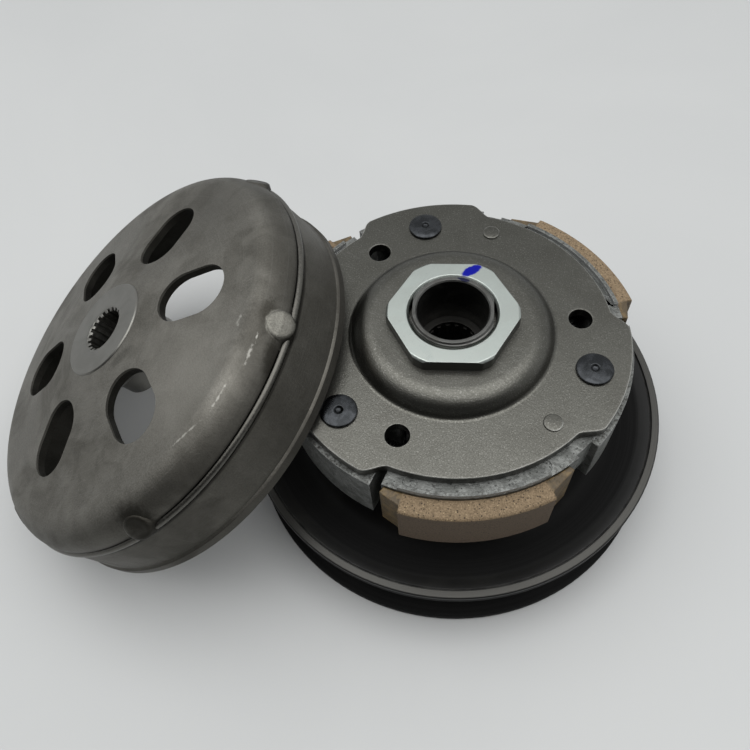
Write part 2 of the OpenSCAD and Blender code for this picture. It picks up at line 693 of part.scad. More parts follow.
module bell_drum() {
    inner_corner = corner_r - bell_face_t - 0.3;
    inner_s = face_s(bell_inner_r - inner_corner) - bell_face_t - inner_corner;
    groove_r = wall_r - 1.7;
    groove_s = corner_s - 2 * wire_r - 0.4;
    bead_s = -bell_depth + 3;
    color([0.39, 0.38, 0.36]) at_bell() difference() {
        union() {
            rotate_extrude() polygon(concat(
                [[hub_r + seam, face_s(hub_r) - bell_face_t], [hub_r + seam, face_s(hub_r)]],
                arc(wall_r - corner_r, corner_s, corner_r, 90 - face_fall, 0, 10),
                [[groove_r, corner_s], [groove_r, groove_s], [wall_r, groove_s], [wall_r, bead_s + 0.6],
                    [bell_r, bead_s], [bell_r, 0.3 - bell_depth], [bell_r - 0.5, -bell_depth],
                    [bell_inner_r + 0.6, -bell_depth], [bell_inner_r, 0.6 - bell_depth]],
                arc(bell_inner_r - inner_corner, inner_s, inner_corner, 0, 90 - face_fall, 8)));
            bell_nubs(0);
        }
        around(6, hole_start) translate([face_hole_pitch_r, 0, -12]) {
            for (side = [-1, 1]) translate([side * (face_hole_l - face_hole_w) / 2, 0, 0])
                cylinder(d = face_hole_w, h = 24);
            translate([(face_hole_w - face_hole_l) / 2, -face_hole_w / 2, 0])
                cube([face_hole_l - face_hole_w, face_hole_w, 24]);
        }
    }
}

module bell_wire() {
    color([0.42, 0.41, 0.4]) at_bell() difference() {
        translate([0, 0, corner_s - wire_r - 0.2]) hoop(wall_r - 0.4, wire_r);
        bell_nubs(seam);
    }
}

module bell_hub() {
    low = -17;
    flange = hub_r + 5;
    groove_r = spline_d / 2;
    land_r = groove_r - 0.9;
    groove_w = PI * spline_d / spline_count / 2;
    under = face_s(hub_r) - bell_face_t - seam;
    color([0.45, 0.44, 0.42]) at_bell() difference() {
        rotate_extrude() polygon([
            [land_r, low], [hub_r - 3, low], [hub_r - 3, under - 6], [flange - 1, under - 5],
            [flange, under - 4], [flange, under - 5 * tan(face_fall) - 0.1], [hub_r, under - 0.1],
            [hub_r, face_s(hub_r) + 0.1], [hub_r - 0.4, face_s(hub_r) + 0.5],
            [groove_r + 0.6, face_s(hub_r) + 0.5], [land_r, face_s(hub_r) - 0.4]]);
        around(spline_count) translate([land_r - 1, -groove_w / 2, low - 1])
            cube([groove_r - land_r + 1, groove_w, 40]);
    }
}

fixed_face();
hub_tube();
drive_plate();
hub_nut();
movable_face();
cam_sleeve();
cam_o_rings();
cam_seals();
guide_pins();
guide_rollers();
spring_seat();
contra_spring();
spring_collar();
shoe_1();
shoe_2();
shoe_3();
lining_1();
lining_2();
lining_3();
pivot_pins();
pivot_clips();
damper_pins();
damper_rubbers();
return_spring_1();
return_spring_2();
return_spring_3();
needle_shell();
needle_cage();
needles();
bearing_outer();
bearing_inner();
bearing_cage();
bearing_balls();
bearing_shields();
snap_ring();
bell_drum();
bell_hub();
bell_wire();
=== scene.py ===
# %% [markdown]
# # Driven pulley and clutch set
#
# This lesson dresses a scooter's driven pulley, its centrifugal clutch and the
# clutch bell that leans on it. The true shapes come in as a fixed frame from the
# CAD model, in metres. Here each surface gets the finish that it has in the
# workshop: blackened sheaves, sheet steel, zinc, die-cast alloy and friction
# lining. A few pieces that the CAD model keeps plain are modelled again with more
# detail. Z is the pulley's axis, and the set stands on the plane Z = 0.

# %% Load the frame
import json
import math

import bpy
from mathutils import Matrix, Vector


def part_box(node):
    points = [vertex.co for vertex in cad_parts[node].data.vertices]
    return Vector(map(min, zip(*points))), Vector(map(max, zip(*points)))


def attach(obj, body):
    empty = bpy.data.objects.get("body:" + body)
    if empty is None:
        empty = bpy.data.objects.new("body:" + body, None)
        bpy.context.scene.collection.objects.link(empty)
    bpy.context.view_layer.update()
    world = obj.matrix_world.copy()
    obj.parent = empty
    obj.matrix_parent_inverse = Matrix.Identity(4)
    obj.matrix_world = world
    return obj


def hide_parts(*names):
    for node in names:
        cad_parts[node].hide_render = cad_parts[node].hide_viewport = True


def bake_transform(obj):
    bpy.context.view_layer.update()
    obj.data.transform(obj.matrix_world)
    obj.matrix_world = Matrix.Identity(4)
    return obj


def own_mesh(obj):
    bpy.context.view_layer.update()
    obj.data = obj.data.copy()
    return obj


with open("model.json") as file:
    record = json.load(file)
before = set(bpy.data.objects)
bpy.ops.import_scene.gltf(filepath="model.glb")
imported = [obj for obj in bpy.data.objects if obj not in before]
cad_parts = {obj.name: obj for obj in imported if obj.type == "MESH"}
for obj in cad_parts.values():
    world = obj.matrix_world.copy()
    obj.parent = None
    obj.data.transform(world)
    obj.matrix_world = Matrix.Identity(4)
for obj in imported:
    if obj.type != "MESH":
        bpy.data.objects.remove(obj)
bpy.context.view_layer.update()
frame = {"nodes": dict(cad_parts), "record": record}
bpy.ops.object.select_all(action="DESELECT")
for plain in bpy.data.materials:
    plain.name = "cad_" + plain.name
scene = bpy.context.scene
scene.view_settings.view_transform = "Standard"
MM = 0.001

# %% [markdown]
# ## Where the camera stands
#
# Someone holds a camera above the set, a little in front of it, and looks steeply
# down. A short lens that close makes the near rim look much bigger than the far
# one, so the distance matters as much as the direction. The three angles turn the
# camera from looking straight down: first up towards the horizon, then the roll,
# then the heading.

# %% Camera
lens = bpy.data.cameras.new("camera")
lens.lens = 34.15
lens.sensor_width = 36
lens.clip_start = 0.01
camera = bpy.data.objects.new("camera", lens)
camera.location = (0, -0.13746, 0.26276)
camera.rotation_euler = [math.radians(a) for a in (31.921, 3.566, 5.612)]
scene.collection.objects.link(camera)
scene.camera = camera
print("camera at", tuple(camera.location))

# %% [markdown]
# ## Light
#
# The set lies on a pale table under one large soft light. Bare steel has
# hardly any colour of its own and shows what it faces, so the room matters as
# much as the lamp: here the lamp hangs overhead, pale walls stand behind and to
# the sides, and the side where the person with the camera stands is dark. That
# dark side is what draws the black flank on each rounded edge. The strengths add
# up to a level at which a colour comes out about as it is written.

# %% World and lamp
WALL_LIGHT = 0.72
DARK_SIDE_LIGHT = 0.05

world = bpy.data.worlds.new("room")
world.use_nodes = True
room = world.node_tree
facing = room.nodes.new("ShaderNodeTexCoord").outputs["Generated"]
apart = room.nodes.new("ShaderNodeSeparateXYZ")
room.links.new(facing, apart.inputs[0])
fade = room.nodes.new("ShaderNodeMapRange")
fade.interpolation_type = "SMOOTHSTEP"
for slot, value in ((1, -0.75), (2, 0.15), (3, DARK_SIDE_LIGHT), (4, WALL_LIGHT)):
    fade.inputs[slot].default_value = value
room.links.new(apart.outputs[1], fade.inputs[0])
seen = room.nodes.new("ShaderNodeLightPath").outputs["Is Camera Ray"]
level = room.nodes.new("ShaderNodeMix")
room.links.new(seen, level.inputs[0])
room.links.new(fade.outputs[0], level.inputs[2])
level.inputs[3].default_value = WALL_LIGHT
background = room.nodes["Background"]
background.inputs["Color"].default_value = (0.97, 0.99, 1.0, 1)
room.links.new(level.outputs[0], background.inputs["Strength"])
scene.world = world

bulb = bpy.data.lights.new("ceiling_light", "AREA")
bulb.shape = "RECTANGLE"
bulb.size, bulb.size_y = 1.9, 1.1
bulb.energy = 12.2
lamp = bpy.data.objects.new("ceiling_light", bulb)
lamp.location = (-0.005, -0.035, 1.1)
lamp.rotation_euler = (-lamp.location).to_track_quat("-Z", "Y").to_euler()
scene.collection.objects.link(lamp)
print("lamp:", lamp.name, "at", lamp.location[:])

# %% [markdown]
# ## Table
#
# The table is a plain pale sheet, large enough to fill the view. It belongs to the
# stage and not to the object, and it only has to catch the soft shadow.

# %% Table
bpy.ops.mesh.primitive_plane_add(size=6, location=(0, 0, 0))
table = bpy.context.object
table.name = "table"
print("table:", table.dimensions[:])

# %% [markdown]
# ## Helpers for materials
#
# A finish is a small graph of nodes, and it could be wired one node at a time. A
# few short helpers keep each graph readable instead: one adds a node and fills its
# inputs, two do sums, one mixes two colours, one dabs a colour on through a
# mask, one turns a range of values into a soft mask, and one takes a vector apart.
# A value that is a socket is linked, and any other value is written in.

# %% Node helpers
def add(tree, kind, values=None, **options):
    made = tree.nodes.new("ShaderNode" + kind)
    for name, value in options.items():
        setattr(made, name, value)
    for name, value in (values or {}).items():
        if isinstance(value, bpy.types.NodeSocket):
            tree.links.new(value, made.inputs[name])
        else:
            made.inputs[name].default_value = value
    return made


def calc(tree, operation, a, b=0.0, c=0.0, clamp=False):
    return add(tree, "Math", {0: a, 1: b, 2: c}, operation=operation, use_clamp=clamp).outputs[0]


def times(tree, a, b):
    return calc(tree, "MULTIPLY", a, b)


def tint(tree, factor, a, b):
    colours = [c if isinstance(c, bpy.types.NodeSocket) else (*c, 1) for c in (a, b)]
    return add(tree, "Mix", {0: factor, 6: colours[0], 7: colours[1]}, data_type="RGBA").outputs[2]


def dab(tree, mask, strength, under, over):
    return tint(tree, times(tree, mask, strength), under, over)


def window(tree, value, low, high, to_low=0.0, to_high=1.0):
    made = add(tree, "MapRange", {0: value, 1: low, 2: high, 3: to_low, 4: to_high},
               interpolation_type="SMOOTHSTEP")
    return made.outputs[0]


def split(tree, vector):
    return add(tree, "SeparateXYZ", {0: vector}).outputs


print("helpers ready")


# %% [markdown]
# ## Shared effects
#
# Every metal here shows the same few things at different strengths: grain from
# the mill or the tumbler, rings from the lathe, cloudy handling marks, specks,
# single patches, fine scratches and bright worn edges. Each could be drawn anew in
# every material, but as a node group with named inputs it is built once, and a
# finish picks what it needs. All of them work in millimetres, on the place of the
# point in its own piece, so a pattern keeps its true size and stays on the metal
# when a joint moves.

# %% Group helper
def new_group(name, inputs, outputs):
    group = bpy.data.node_groups.new(name, "ShaderNodeTree")
    for label, start in {"Place": None, **inputs}.items():
        kind = "Vector" if start is None else "Float"
        socket = group.interface.new_socket(label, in_out="INPUT", socket_type="NodeSocket" + kind)
        if start is not None:
            socket.default_value = start
    for label in outputs:
        group.interface.new_socket(label, in_out="OUTPUT", socket_type="NodeSocketFloat")
    return group, group.nodes.new("NodeGroupInput").outputs, group.nodes.new("NodeGroupOutput").inputs


def effect(tree, group, **values):
    made = tree.nodes.new("ShaderNodeGroup")
    made.node_tree = group
    for name, value in values.items():
        label = name.replace("_", " ").capitalize()
        if isinstance(value, bpy.types.NodeSocket):
            tree.links.new(value, made.inputs[label])
        else:
            made.inputs[label].default_value = value
    return made.outputs


def mask_of(tree, group, place, **values):
    return effect(tree, group, Place=place, **values)["Mask"]


def place_in_steps(group, get, size="Size"):
    shrink = calc(group, "DIVIDE", 1.0, get[size])
    return add(group, "VectorMath", {0: get["Place"], 3: shrink}, operation="SCALE").outputs[0]


print("group helpers ready")

# %% Grain
grain, get, put = new_group("grain", {"Size": 0.5, "Contrast": 1.0}, ["Value"])
scaled = place_in_steps(grain, get)
noise = add(grain, "TexNoise", {"Vector": scaled, "Scale": 1.0, "Detail": 3.0, "Roughness": 0.6})
centred = calc(grain, "SUBTRACT", noise.outputs[0], 0.5)
wide = times(grain, centred, get["Contrast"])
grain.links.new(calc(grain, "ADD", wide, 0.5, clamp=True), put["Value"])
print("group:", grain.name)

# %% Clouds
clouds, get, put = new_group("clouds", {"Size": 12.0, "Low": 0.45, "High": 0.65}, ["Mask"])
scaled = place_in_steps(clouds, get)
noise = add(clouds, "TexNoise", {"Vector": scaled, "Scale": 1.0, "Detail": 5.0, "Roughness": 0.55,
                                 "Distortion": 0.6})
clouds.links.new(window(clouds, noise.outputs[0], get["Low"], get["High"]), put["Mask"])
print("group:", clouds.name)

# %% Turned rings
turned, get, put = new_group("turned_rings", {"Marks per mm": 3.0}, ["Value", "Radius"])
apart = split(turned, get["Place"])
flat = add(turned, "CombineXYZ", {0: apart[0], 1: apart[1], 2: 0.0}).outputs[0]
radius = add(turned, "VectorMath", {0: flat}, operation="LENGTH").outputs[1]
facing = add(turned, "VectorMath", {0: flat}, operation="NORMALIZE").outputs[0]
apart_facing = split(turned, facing)
across = calc(turned, "ADD", times(turned, radius, get["Marks per mm"]),
              times(turned, apart_facing[0], 0.35))
along = calc(turned, "ADD", times(turned, apart[2], get["Marks per mm"]),
             times(turned, apart_facing[1], 0.35))
rings = add(turned, "CombineXYZ", {0: across, 1: along, 2: 0.0}).outputs[0]
noise = add(turned, "TexNoise", {"Vector": rings, "Scale": 1.0, "Detail": 2.0, "Roughness": 0.5})
turned.links.new(noise.outputs[0], put["Value"])
turned.links.new(radius, put["Radius"])
print("group:", turned.name)

# %% Specks
specks, get, put = new_group("specks", {"Size": 0.6, "Share": 0.2}, ["Mask"])
scaled = place_in_steps(specks, get)
cells = add(specks, "TexVoronoi", {"Vector": scaled, "Scale": 1.0, "Randomness": 1.0})
pick = split(specks, cells.outputs["Color"])[0]
reach = times(specks, calc(specks, "LESS_THAN", pick, get["Share"]), 0.42)
grown = times(specks, reach, window(specks, pick, 0.0, get["Share"], 1.0, 0.45))
near = calc(specks, "SUBTRACT", grown, cells.outputs["Distance"])
specks.links.new(window(specks, near, 0.0, 0.1), put["Mask"])
print("group:", specks.name)

# %% Worn edges
worn, get, put = new_group("worn_edges", {"Width": 0.4, "Patchy": 3.0}, ["Mask"])
round_normal = add(worn, "Bevel", {"Radius": times(worn, get["Width"], MM)}, samples=4)
flat_normal = add(worn, "NewGeometry").outputs["Normal"]
agree = add(worn, "VectorMath", {0: round_normal.outputs[0], 1: flat_normal}, operation="DOT_PRODUCT")
edge = window(worn, agree.outputs[1], 0.998, 0.93)
scaled = place_in_steps(worn, get, "Patchy")
noise = add(worn, "TexNoise", {"Vector": scaled, "Scale": 1.0, "Detail": 4.0, "Roughness": 0.6})
rubbed = window(worn, noise.outputs[0], 0.35, 0.6)
worn.links.new(times(worn, edge, rubbed), put["Mask"])
print("group:", worn.name)

# %% Patch
patch, get, put = new_group("patch", {"Centre": None, "Along": None, "Half long": 4.0, "Half wide": 1.0,
                                      "Ragged": 0.3, "Soft": 0.25}, ["Mask"])
off = add(patch, "VectorMath", {0: get["Place"], 1: get["Centre"]}, operation="SUBTRACT").outputs[0]
forward = add(patch, "VectorMath", {0: off, 1: get["Along"]}, operation="DOT_PRODUCT").outputs[1]
spine = add(patch, "VectorMath", {0: get["Along"], 3: forward}, operation="SCALE").outputs[0]
aside = add(patch, "VectorMath", {0: off, 1: spine}, operation="DISTANCE").outputs[1]
reach = calc(patch, "POWER", calc(patch, "DIVIDE", forward, get["Half long"]), 2.0)
spread = calc(patch, "POWER", calc(patch, "DIVIDE", aside, get["Half wide"]), 2.0)
noise = add(patch, "TexNoise", {"Vector": get["Place"], "Scale": 0.7, "Detail": 4.0,
                                "Roughness": 0.65})
torn = times(patch, calc(patch, "SUBTRACT", noise.outputs[0], 0.5), get["Ragged"])
size = calc(patch, "ADD", calc(patch, "SQRT", calc(patch, "ADD", reach, spread)), torn)
patch.links.new(window(patch, size, 1.0, calc(patch, "SUBTRACT", 1.0, get["Soft"])), put["Mask"])


def spot(tree, place, centre, along, half_long, half_wide, ragged, soft=0.25):
    return mask_of(tree, patch, place, Centre=centre, Along=along, Half_long=half_long,
                   Half_wide=half_wide, Ragged=ragged, Soft=soft)


print("group:", patch.name)

# %% Scratches
scratches, get, put = new_group("scratches", {"Angle": 0.0, "Spacing": 1.2, "Length": 12.0}, ["Mask"])
turn = add(scratches, "VectorRotate", {"Vector": get["Place"], "Angle": get["Angle"]},
           rotation_type="Z_AXIS").outputs[0]
apart = split(scratches, turn)
squeezed = {axis: calc(scratches, "DIVIDE", apart[axis], get[step])
            for axis, step in enumerate(("Length", "Spacing", "Length"))}
squeezed = add(scratches, "CombineXYZ", squeezed).outputs[0]
noise = add(scratches, "TexNoise", {"Vector": squeezed, "Scale": 1.0, "Detail": 2.0, "Roughness": 0.4})
off = calc(scratches, "ABSOLUTE", calc(scratches, "SUBTRACT", noise.outputs[0], 0.5))
line = window(scratches, off, 0.012, 0.0)
breaks = add(scratches, "TexNoise", {"Vector": get["Place"], "Scale": 0.11, "Detail": 1.0})
scratches.links.new(times(scratches, line, window(scratches, breaks.outputs[0], 0.5, 0.62)),
                    put["Mask"])
print("group:", scratches.name)

# %% [markdown]
# ## From CAD piece to finished piece
#
# The CAD model gives exact shapes with knife-sharp edges, and no real part has
# those: sheet is punched, castings are tumbled and bars are chamfered. An edge
# could be faked in the material, but a real rounding also shows in the outline.
# So a copy of each hard piece is merged, its flat areas are made single faces
# again, and a bevel rounds every edge that is sharper than a set angle. Smooth
# shading would let those roundings pull at the big flat faces and leave faint
# wedges of light in them, so weighted normals let the largest face decide. The
# copy then stands for the CAD piece and rides on the same body.

# %% Where each piece belongs
bodies = frame["record"]["behaviour"]["bodies"]
home = {node: body for body, nodes in bodies.items() for node in nodes}
finished = {}
print("bodies:", ", ".join(bodies))


# %% Pick, stand in and round
def pick_only(piece):
    bpy.ops.object.select_all(action="DESELECT")
    piece.select_set(True)
    bpy.context.view_layer.objects.active = piece


def select_points(piece, rule):
    pick_only(piece)
    bpy.ops.object.mode_set(mode="EDIT")
    bpy.ops.mesh.select_mode(type="VERT")
    bpy.ops.mesh.select_all(action="DESELECT")
    bpy.ops.object.mode_set(mode="OBJECT")
    for vertex in piece.data.vertices:
        vertex.select = rule(vertex)
    bpy.ops.object.mode_set(mode="EDIT")


def stand_for(piece, *nodes):
    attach(piece, home[nodes[0]])
    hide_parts(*nodes)
    for node in nodes:
        finished.setdefault(node, []).append(piece)


def round_edges(piece, width, steps=2, sharper_than=35.0):
    bevel = piece.modifiers.new("rounding", "BEVEL")
    bevel.width = width * MM
    bevel.segments = steps
    bevel.limit_method = "ANGLE"
    bevel.angle_limit = math.radians(sharper_than)
    bevel.miter_outer = "MITER_ARC"
    pick_only(piece)
    bpy.ops.object.modifier_apply(modifier="rounding")
    bpy.ops.object.shade_smooth_by_angle(angle=math.radians(32))
    flatten = piece.modifiers.new("flat faces", "WEIGHTED_NORMAL")
    flatten.keep_sharp = True
    bpy.ops.object.modifier_apply(modifier="flat faces")


print("rounding helpers ready")


# %% Copy a CAD piece
def merged_copy(node, name):
    pick_only(frame["nodes"][node])
    bpy.ops.object.duplicate()
    piece = bpy.context.object
    piece.name = name
    piece.parent = None
    for label in list(piece.keys()):
        del piece[label]
    bpy.ops.object.mode_set(mode="EDIT")
    bpy.ops.mesh.select_all(action="SELECT")
    bpy.ops.mesh.remove_doubles(threshold=0.001 * MM)
    bpy.ops.mesh.customdata_custom_splitnormals_clear()
    bpy.ops.mesh.dissolve_limited(angle_limit=math.radians(0.6), delimit={"NORMAL"})
    bpy.ops.object.mode_set(mode="OBJECT")
    return piece


def rounded_copy(node, name, width, steps=2):
    piece = merged_copy(node, name)
    round_edges(piece, width, steps)
    stand_for(piece, node)
    return piece


print("copy helpers ready")

# %% Round the hard pieces
ROUNDINGS = {
    "fixed_face": ("lower_sheave", 0.3, 2), "movable_face": ("upper_sheave", 0.25, 2),
    "drive_plate": ("clutch_plate", 0.35, 3), "hub_nut": ("lock_nut", 0.25, 3),
    "hub_tube": ("pulley_tube", 0.15, 2), "pivot_pins": ("pivot_pin_heads", 0.35, 3),
    "damper_pins": ("damper_rivets", 0.25, 3), "spring_seat": ("spring_cup", 0.3, 2),
    "bell_hub": ("bell_spline_hub", 0.2, 2),
}
for node, (name, width, steps) in ROUNDINGS.items():
    made = rounded_copy(node, name, width, steps)
    print(made.name, "has", len(made.data.polygons), "faces")

# %% [markdown]
# ## Shoes and linings
#
# A shoe leaves its mould with soft corners, and its lining is bonded on as a
# pressed block whose arrises crumble first. Both get a wider rounding than the
# steel pieces. The three shoes are the same casting.

# %% Round the shoes and linings
for count in (1, 2, 3):
    shoe = rounded_copy(f"shoe_{count}", f"cast_shoe_{count}", 0.45, 3)
    lining = rounded_copy(f"lining_{count}", f"shoe_lining_{count}", 0.4, 3)
    print(shoe.name, len(shoe.data.polygons), lining.name, len(lining.data.polygons))

# %% [markdown]
# ## Contra spring
#
# The big spring that closes the sheaves is cold-coiled wire with its two ends
# ground flat, so that it stands square. A round section is swept up a helix by
# the Screw modifier, and two cuts across the axis grind the ends.

# %% Wind the spring
low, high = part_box("contra_spring")
WIRE_R = 2.1 * MM
SPRING_TURNS = 6
STEPS_PER_TURN = 48
ring_r = high.x - WIRE_R
ground = 0.9 * MM
bpy.ops.mesh.primitive_circle_add(vertices=20, radius=WIRE_R, rotation=(math.pi / 2, 0, 0),
                                  location=(ring_r, 0, low.z + WIRE_R - ground))
spring = bpy.context.object
spring.name = "contra_spring_wire"
bpy.ops.object.transform_apply(location=True, rotation=True, scale=True)
winding = spring.modifiers.new("winding", "SCREW")
winding.axis = "Z"
winding.angle = math.tau * SPRING_TURNS
winding.steps = winding.render_steps = STEPS_PER_TURN * SPRING_TURNS
winding.screw_offset = (high.z - low.z) - 2 * (WIRE_R - ground)
winding.use_merge_vertices = True
bpy.ops.object.modifier_apply(modifier="winding")
bpy.ops.object.mode_set(mode="EDIT")
for level, above in ((low.z, False), (high.z, True)):
    bpy.ops.mesh.select_all(action="SELECT")
    bpy.ops.mesh.bisect(plane_co=(0, 0, level), plane_no=(0, 0, 1), use_fill=True,
                        clear_outer=above, clear_inner=not above)
bpy.ops.mesh.select_all(action="SELECT")
bpy.ops.mesh.remove_doubles(threshold=0.001 * MM)
bpy.ops.mesh.select_all(action="DESELECT")
bpy.ops.mesh.select_non_manifold()
bpy.ops.mesh.fill()
bpy.ops.mesh.select_all(action="SELECT")
bpy.ops.mesh.normals_make_consistent(inside=False)
bpy.ops.object.mode_set(mode="OBJECT")
bpy.ops.object.shade_smooth_by_angle(angle=math.radians(40))
stand_for(spring, "contra_spring")
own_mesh(spring)
print("spring:", len(spring.data.polygons), "faces, from", low.z, "to", high.z)

# %% [markdown]
# ## Return springs
#
# Each small spring hooks on two neighbouring shoes, so it has to stretch as they
# swing. It is cut across its middle coil.

# %% Cut the return springs
for count in (1, 2, 3):
    low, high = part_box(f"return_spring_{count}")
    middle = (low + high) / 2
    onward = Vector((-middle.y, middle.x, 0)).normalized()
    shoes = {1: f"shoe_{count}", -1: f"shoe_{(count + 1) % 3 + 1}"}
    for side, shoe in shoes.items():
        name = f"return_spring_{count}_" + ("toe" if side > 0 else "heel")
        half = merged_copy(f"return_spring_{count}", name)
        bpy.ops.object.mode_set(mode="EDIT")
        bpy.ops.mesh.select_all(action="SELECT")
        bpy.ops.mesh.bisect(plane_co=middle, plane_no=onward * side, use_fill=True, clear_inner=True)
        bpy.ops.object.mode_set(mode="OBJECT")
        bpy.ops.object.shade_smooth_by_angle(angle=math.radians(65))
        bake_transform(half)
        finished.setdefault(f"return_spring_{count}", []).append(half)
        print(name, "holds", shoe, "and has", len(half.data.polygons), "faces")
    for half in finished[f"return_spring_{count}"]:
        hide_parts(f"return_spring_{count}")

# %% [markdown]
# ## Where the bell's axis lies
#
# The record gives the middle of the bell's splined hub and the direction that it
# faces. The turn about that direction lines up with the six crimps. The drum is
# modelled upright about the world's Z axis and is then laid in that place.

# %% Bell directions
HUB_STANDS_OUT = 4.1
BELL_ROLL = math.radians(-84.5)
spline = next(m for m in frame["record"]["mounts"] if m["name"] == "bell_spline")
bell_axis = Vector(spline["axis"]).normalized()
bell_zero = Vector(spline["pos_m"]) - bell_axis * HUB_STANDS_OUT * MM
bell_side = Vector((math.cos(BELL_ROLL), math.sin(BELL_ROLL), 0))
bell_turn = Matrix((bell_side, bell_axis.cross(bell_side), bell_axis)).transposed()
bell_lean = bell_turn.to_euler()
print("bell at", bell_zero[:], "facing", bell_axis[:])


def lay_bell_piece(piece):
    piece.location = bell_zero
    piece.rotation_euler = bell_lean
    pick_only(piece)
    bpy.ops.object.transform_apply(location=True, rotation=True, scale=True)


# %% [markdown]
# ## Bell drum
#
# The bell is drawn from sheet like a deep dish and then turned: a gently conical
# face, a round shoulder, a groove for the wire, a plain wall and a bead at the
# open rim. All of that is one outline turned about an axis, so it is drawn as a
# chain of points, each extruded from the last, and spun. The six windows are
# then punched by cutters, and every edge is rounded.

# %% Sizes of the bell
FACE_SLOPE = math.tan(math.radians(9.0))
HOLE_PITCH_R = 39.4
SHOULDER_LOW = -14.1
SHOULDER_R = 10.485
SHEET = 3.2
HUB_SEAT_R = 17.52
GROOVE_R, GROOVE_LOW = 70.1, -16.9
WALL_R, BORE_R = 71.8, 68.0
INNER_CORNER = 7.0
BEAD_R, BEAD_TOP, RIM = 72.6, -33.6, -36.6


def face_height(r):
    return (HOLE_PITCH_R - r) * FACE_SLOPE


def arc_points(centre_r, centre_s, radius, start, end, count):
    turns = [math.radians(start + (end - start) * i / count) for i in range(count + 1)]
    return [(centre_r + radius * math.cos(a), centre_s + radius * math.sin(a)) for a in turns]


print("face height at the hub:", face_height(HUB_SEAT_R))

# %% Draw the outline of the bell
hub_height = face_height(17.5)
outline = [(HUB_SEAT_R, hub_height - SHEET), (HUB_SEAT_R, hub_height), (30.0, face_height(30.0)),
           (45.0, face_height(45.0))]
outline += arc_points(61.3, SHOULDER_LOW, SHOULDER_R, 81, 8, 18)
outline += [(WALL_R - 0.05, SHOULDER_LOW + 0.35), (WALL_R - 0.6, SHOULDER_LOW + 0.1),
            (GROOVE_R, SHOULDER_LOW + 0.1), (GROOVE_R, GROOVE_LOW), (WALL_R, GROOVE_LOW),
            (WALL_R, -25.0), (WALL_R, BEAD_TOP + 0.6), (BEAD_R, BEAD_TOP), (BEAD_R, RIM + 0.3),
            (BEAD_R - 0.5, RIM), (BORE_R + 0.6, RIM), (BORE_R, RIM + 0.6), (BORE_R, -24.0)]
corner_r = BORE_R - INNER_CORNER
outline += arc_points(corner_r, face_height(corner_r) - SHEET - INNER_CORNER, INNER_CORNER, 0, 81, 8)
outline += [(45.0, face_height(45.0) - SHEET), (30.0, face_height(30.0) - SHEET)]

bpy.ops.mesh.primitive_plane_add(size=1 * MM, location=(0, 0, 0))
drum = bpy.context.object
drum.name = "bell_drum_turned"
bpy.ops.object.mode_set(mode="EDIT")
bpy.ops.mesh.merge(type="CENTER")
at = Vector((outline[0][0] * MM, 0, outline[0][1] * MM))
bpy.ops.transform.translate(value=at)
for r, s in outline[1:]:
    step = Vector((r * MM, 0, s * MM)) - at
    bpy.ops.mesh.extrude_vertices_move(TRANSFORM_OT_translate={"value": step})
    at += step
bpy.ops.object.mode_set(mode="OBJECT")
select_points(drum, lambda vertex: vertex.index in (0, len(outline) - 1))
bpy.ops.mesh.edge_face_add()
print("outline:", len(outline), "points")

# %% Spin the bell
bpy.ops.mesh.select_all(action="SELECT")
bpy.ops.mesh.spin(steps=180, angle=math.tau, center=(0, 0, 0), axis=(0, 0, 1), use_auto_merge=True)
bpy.ops.mesh.select_all(action="SELECT")
bpy.ops.mesh.remove_doubles(threshold=0.005 * MM)
bpy.ops.mesh.normals_make_consistent(inside=False)
bpy.ops.object.mode_set(mode="OBJECT")
print("drum:", len(drum.data.polygons), "faces")

# %% [markdown]
# ## The bell's windows
#
# Each window is a slot with round ends, longer outwards than across. The cutter
# starts as a cylinder, and its outer half is pulled away from its inner half.
# One cutter is turned and copied six times, and one boolean punches them all.

# %% Punch the windows
WINDOW_W, WINDOW_L, FIRST_WINDOW = 19.0, 26.0, 29.1
bpy.ops.mesh.primitive_cylinder_add(vertices=64, radius=WINDOW_W / 2 * MM, depth=24 * MM,
                                    location=(HOLE_PITCH_R * MM, 0, 0))
punch = bpy.context.object
bpy.ops.object.transform_apply(location=True)
for side in (-1, 1):
    select_points(punch, lambda vertex: (vertex.co.x - HOLE_PITCH_R * MM) * side > 0.01 * MM)
    bpy.ops.transform.translate(value=(side * (WINDOW_L - WINDOW_W) / 2 * MM, 0, 0))
    bpy.ops.object.mode_set(mode="OBJECT")
punch.rotation_euler.z = math.radians(FIRST_WINDOW)
bpy.ops.object.transform_apply(rotation=True)
punches = [punch]
for count in range(5):
    pick_only(punches[-1])
    bpy.ops.object.duplicate()
    copy = bpy.context.object
    copy.rotation_euler.z = math.radians(60)
    bpy.ops.object.transform_apply(rotation=True)
    punches.append(copy)
for copy in punches:
    copy.select_set(True)
bpy.ops.object.join()
cutters = bpy.context.object
punching = drum.modifiers.new("windows", "BOOLEAN")
punching.operation = "DIFFERENCE"
punching.solver = "EXACT"
punching.object = cutters
pick_only(drum)
bpy.ops.object.modifier_apply(modifier="windows")
bpy.data.objects.remove(cutters)
round_edges(drum, 0.4, 3, 32.0)
lay_bell_piece(drum)
stand_for(drum, "bell_drum")
print("drum with windows:", len(drum.data.polygons), "faces")

# %% [markdown]
# ## Crimps that hold the wire
#
# At six places the drum's skin was pressed over the wire. Each crimp is a low
# round button whose foot runs out into the drum. It starts as a fine disc, is
# raised ring by ring, and its outer rings are then laid on the drum by
# Shrinkwrap, with full weight at the foot and none at the button.

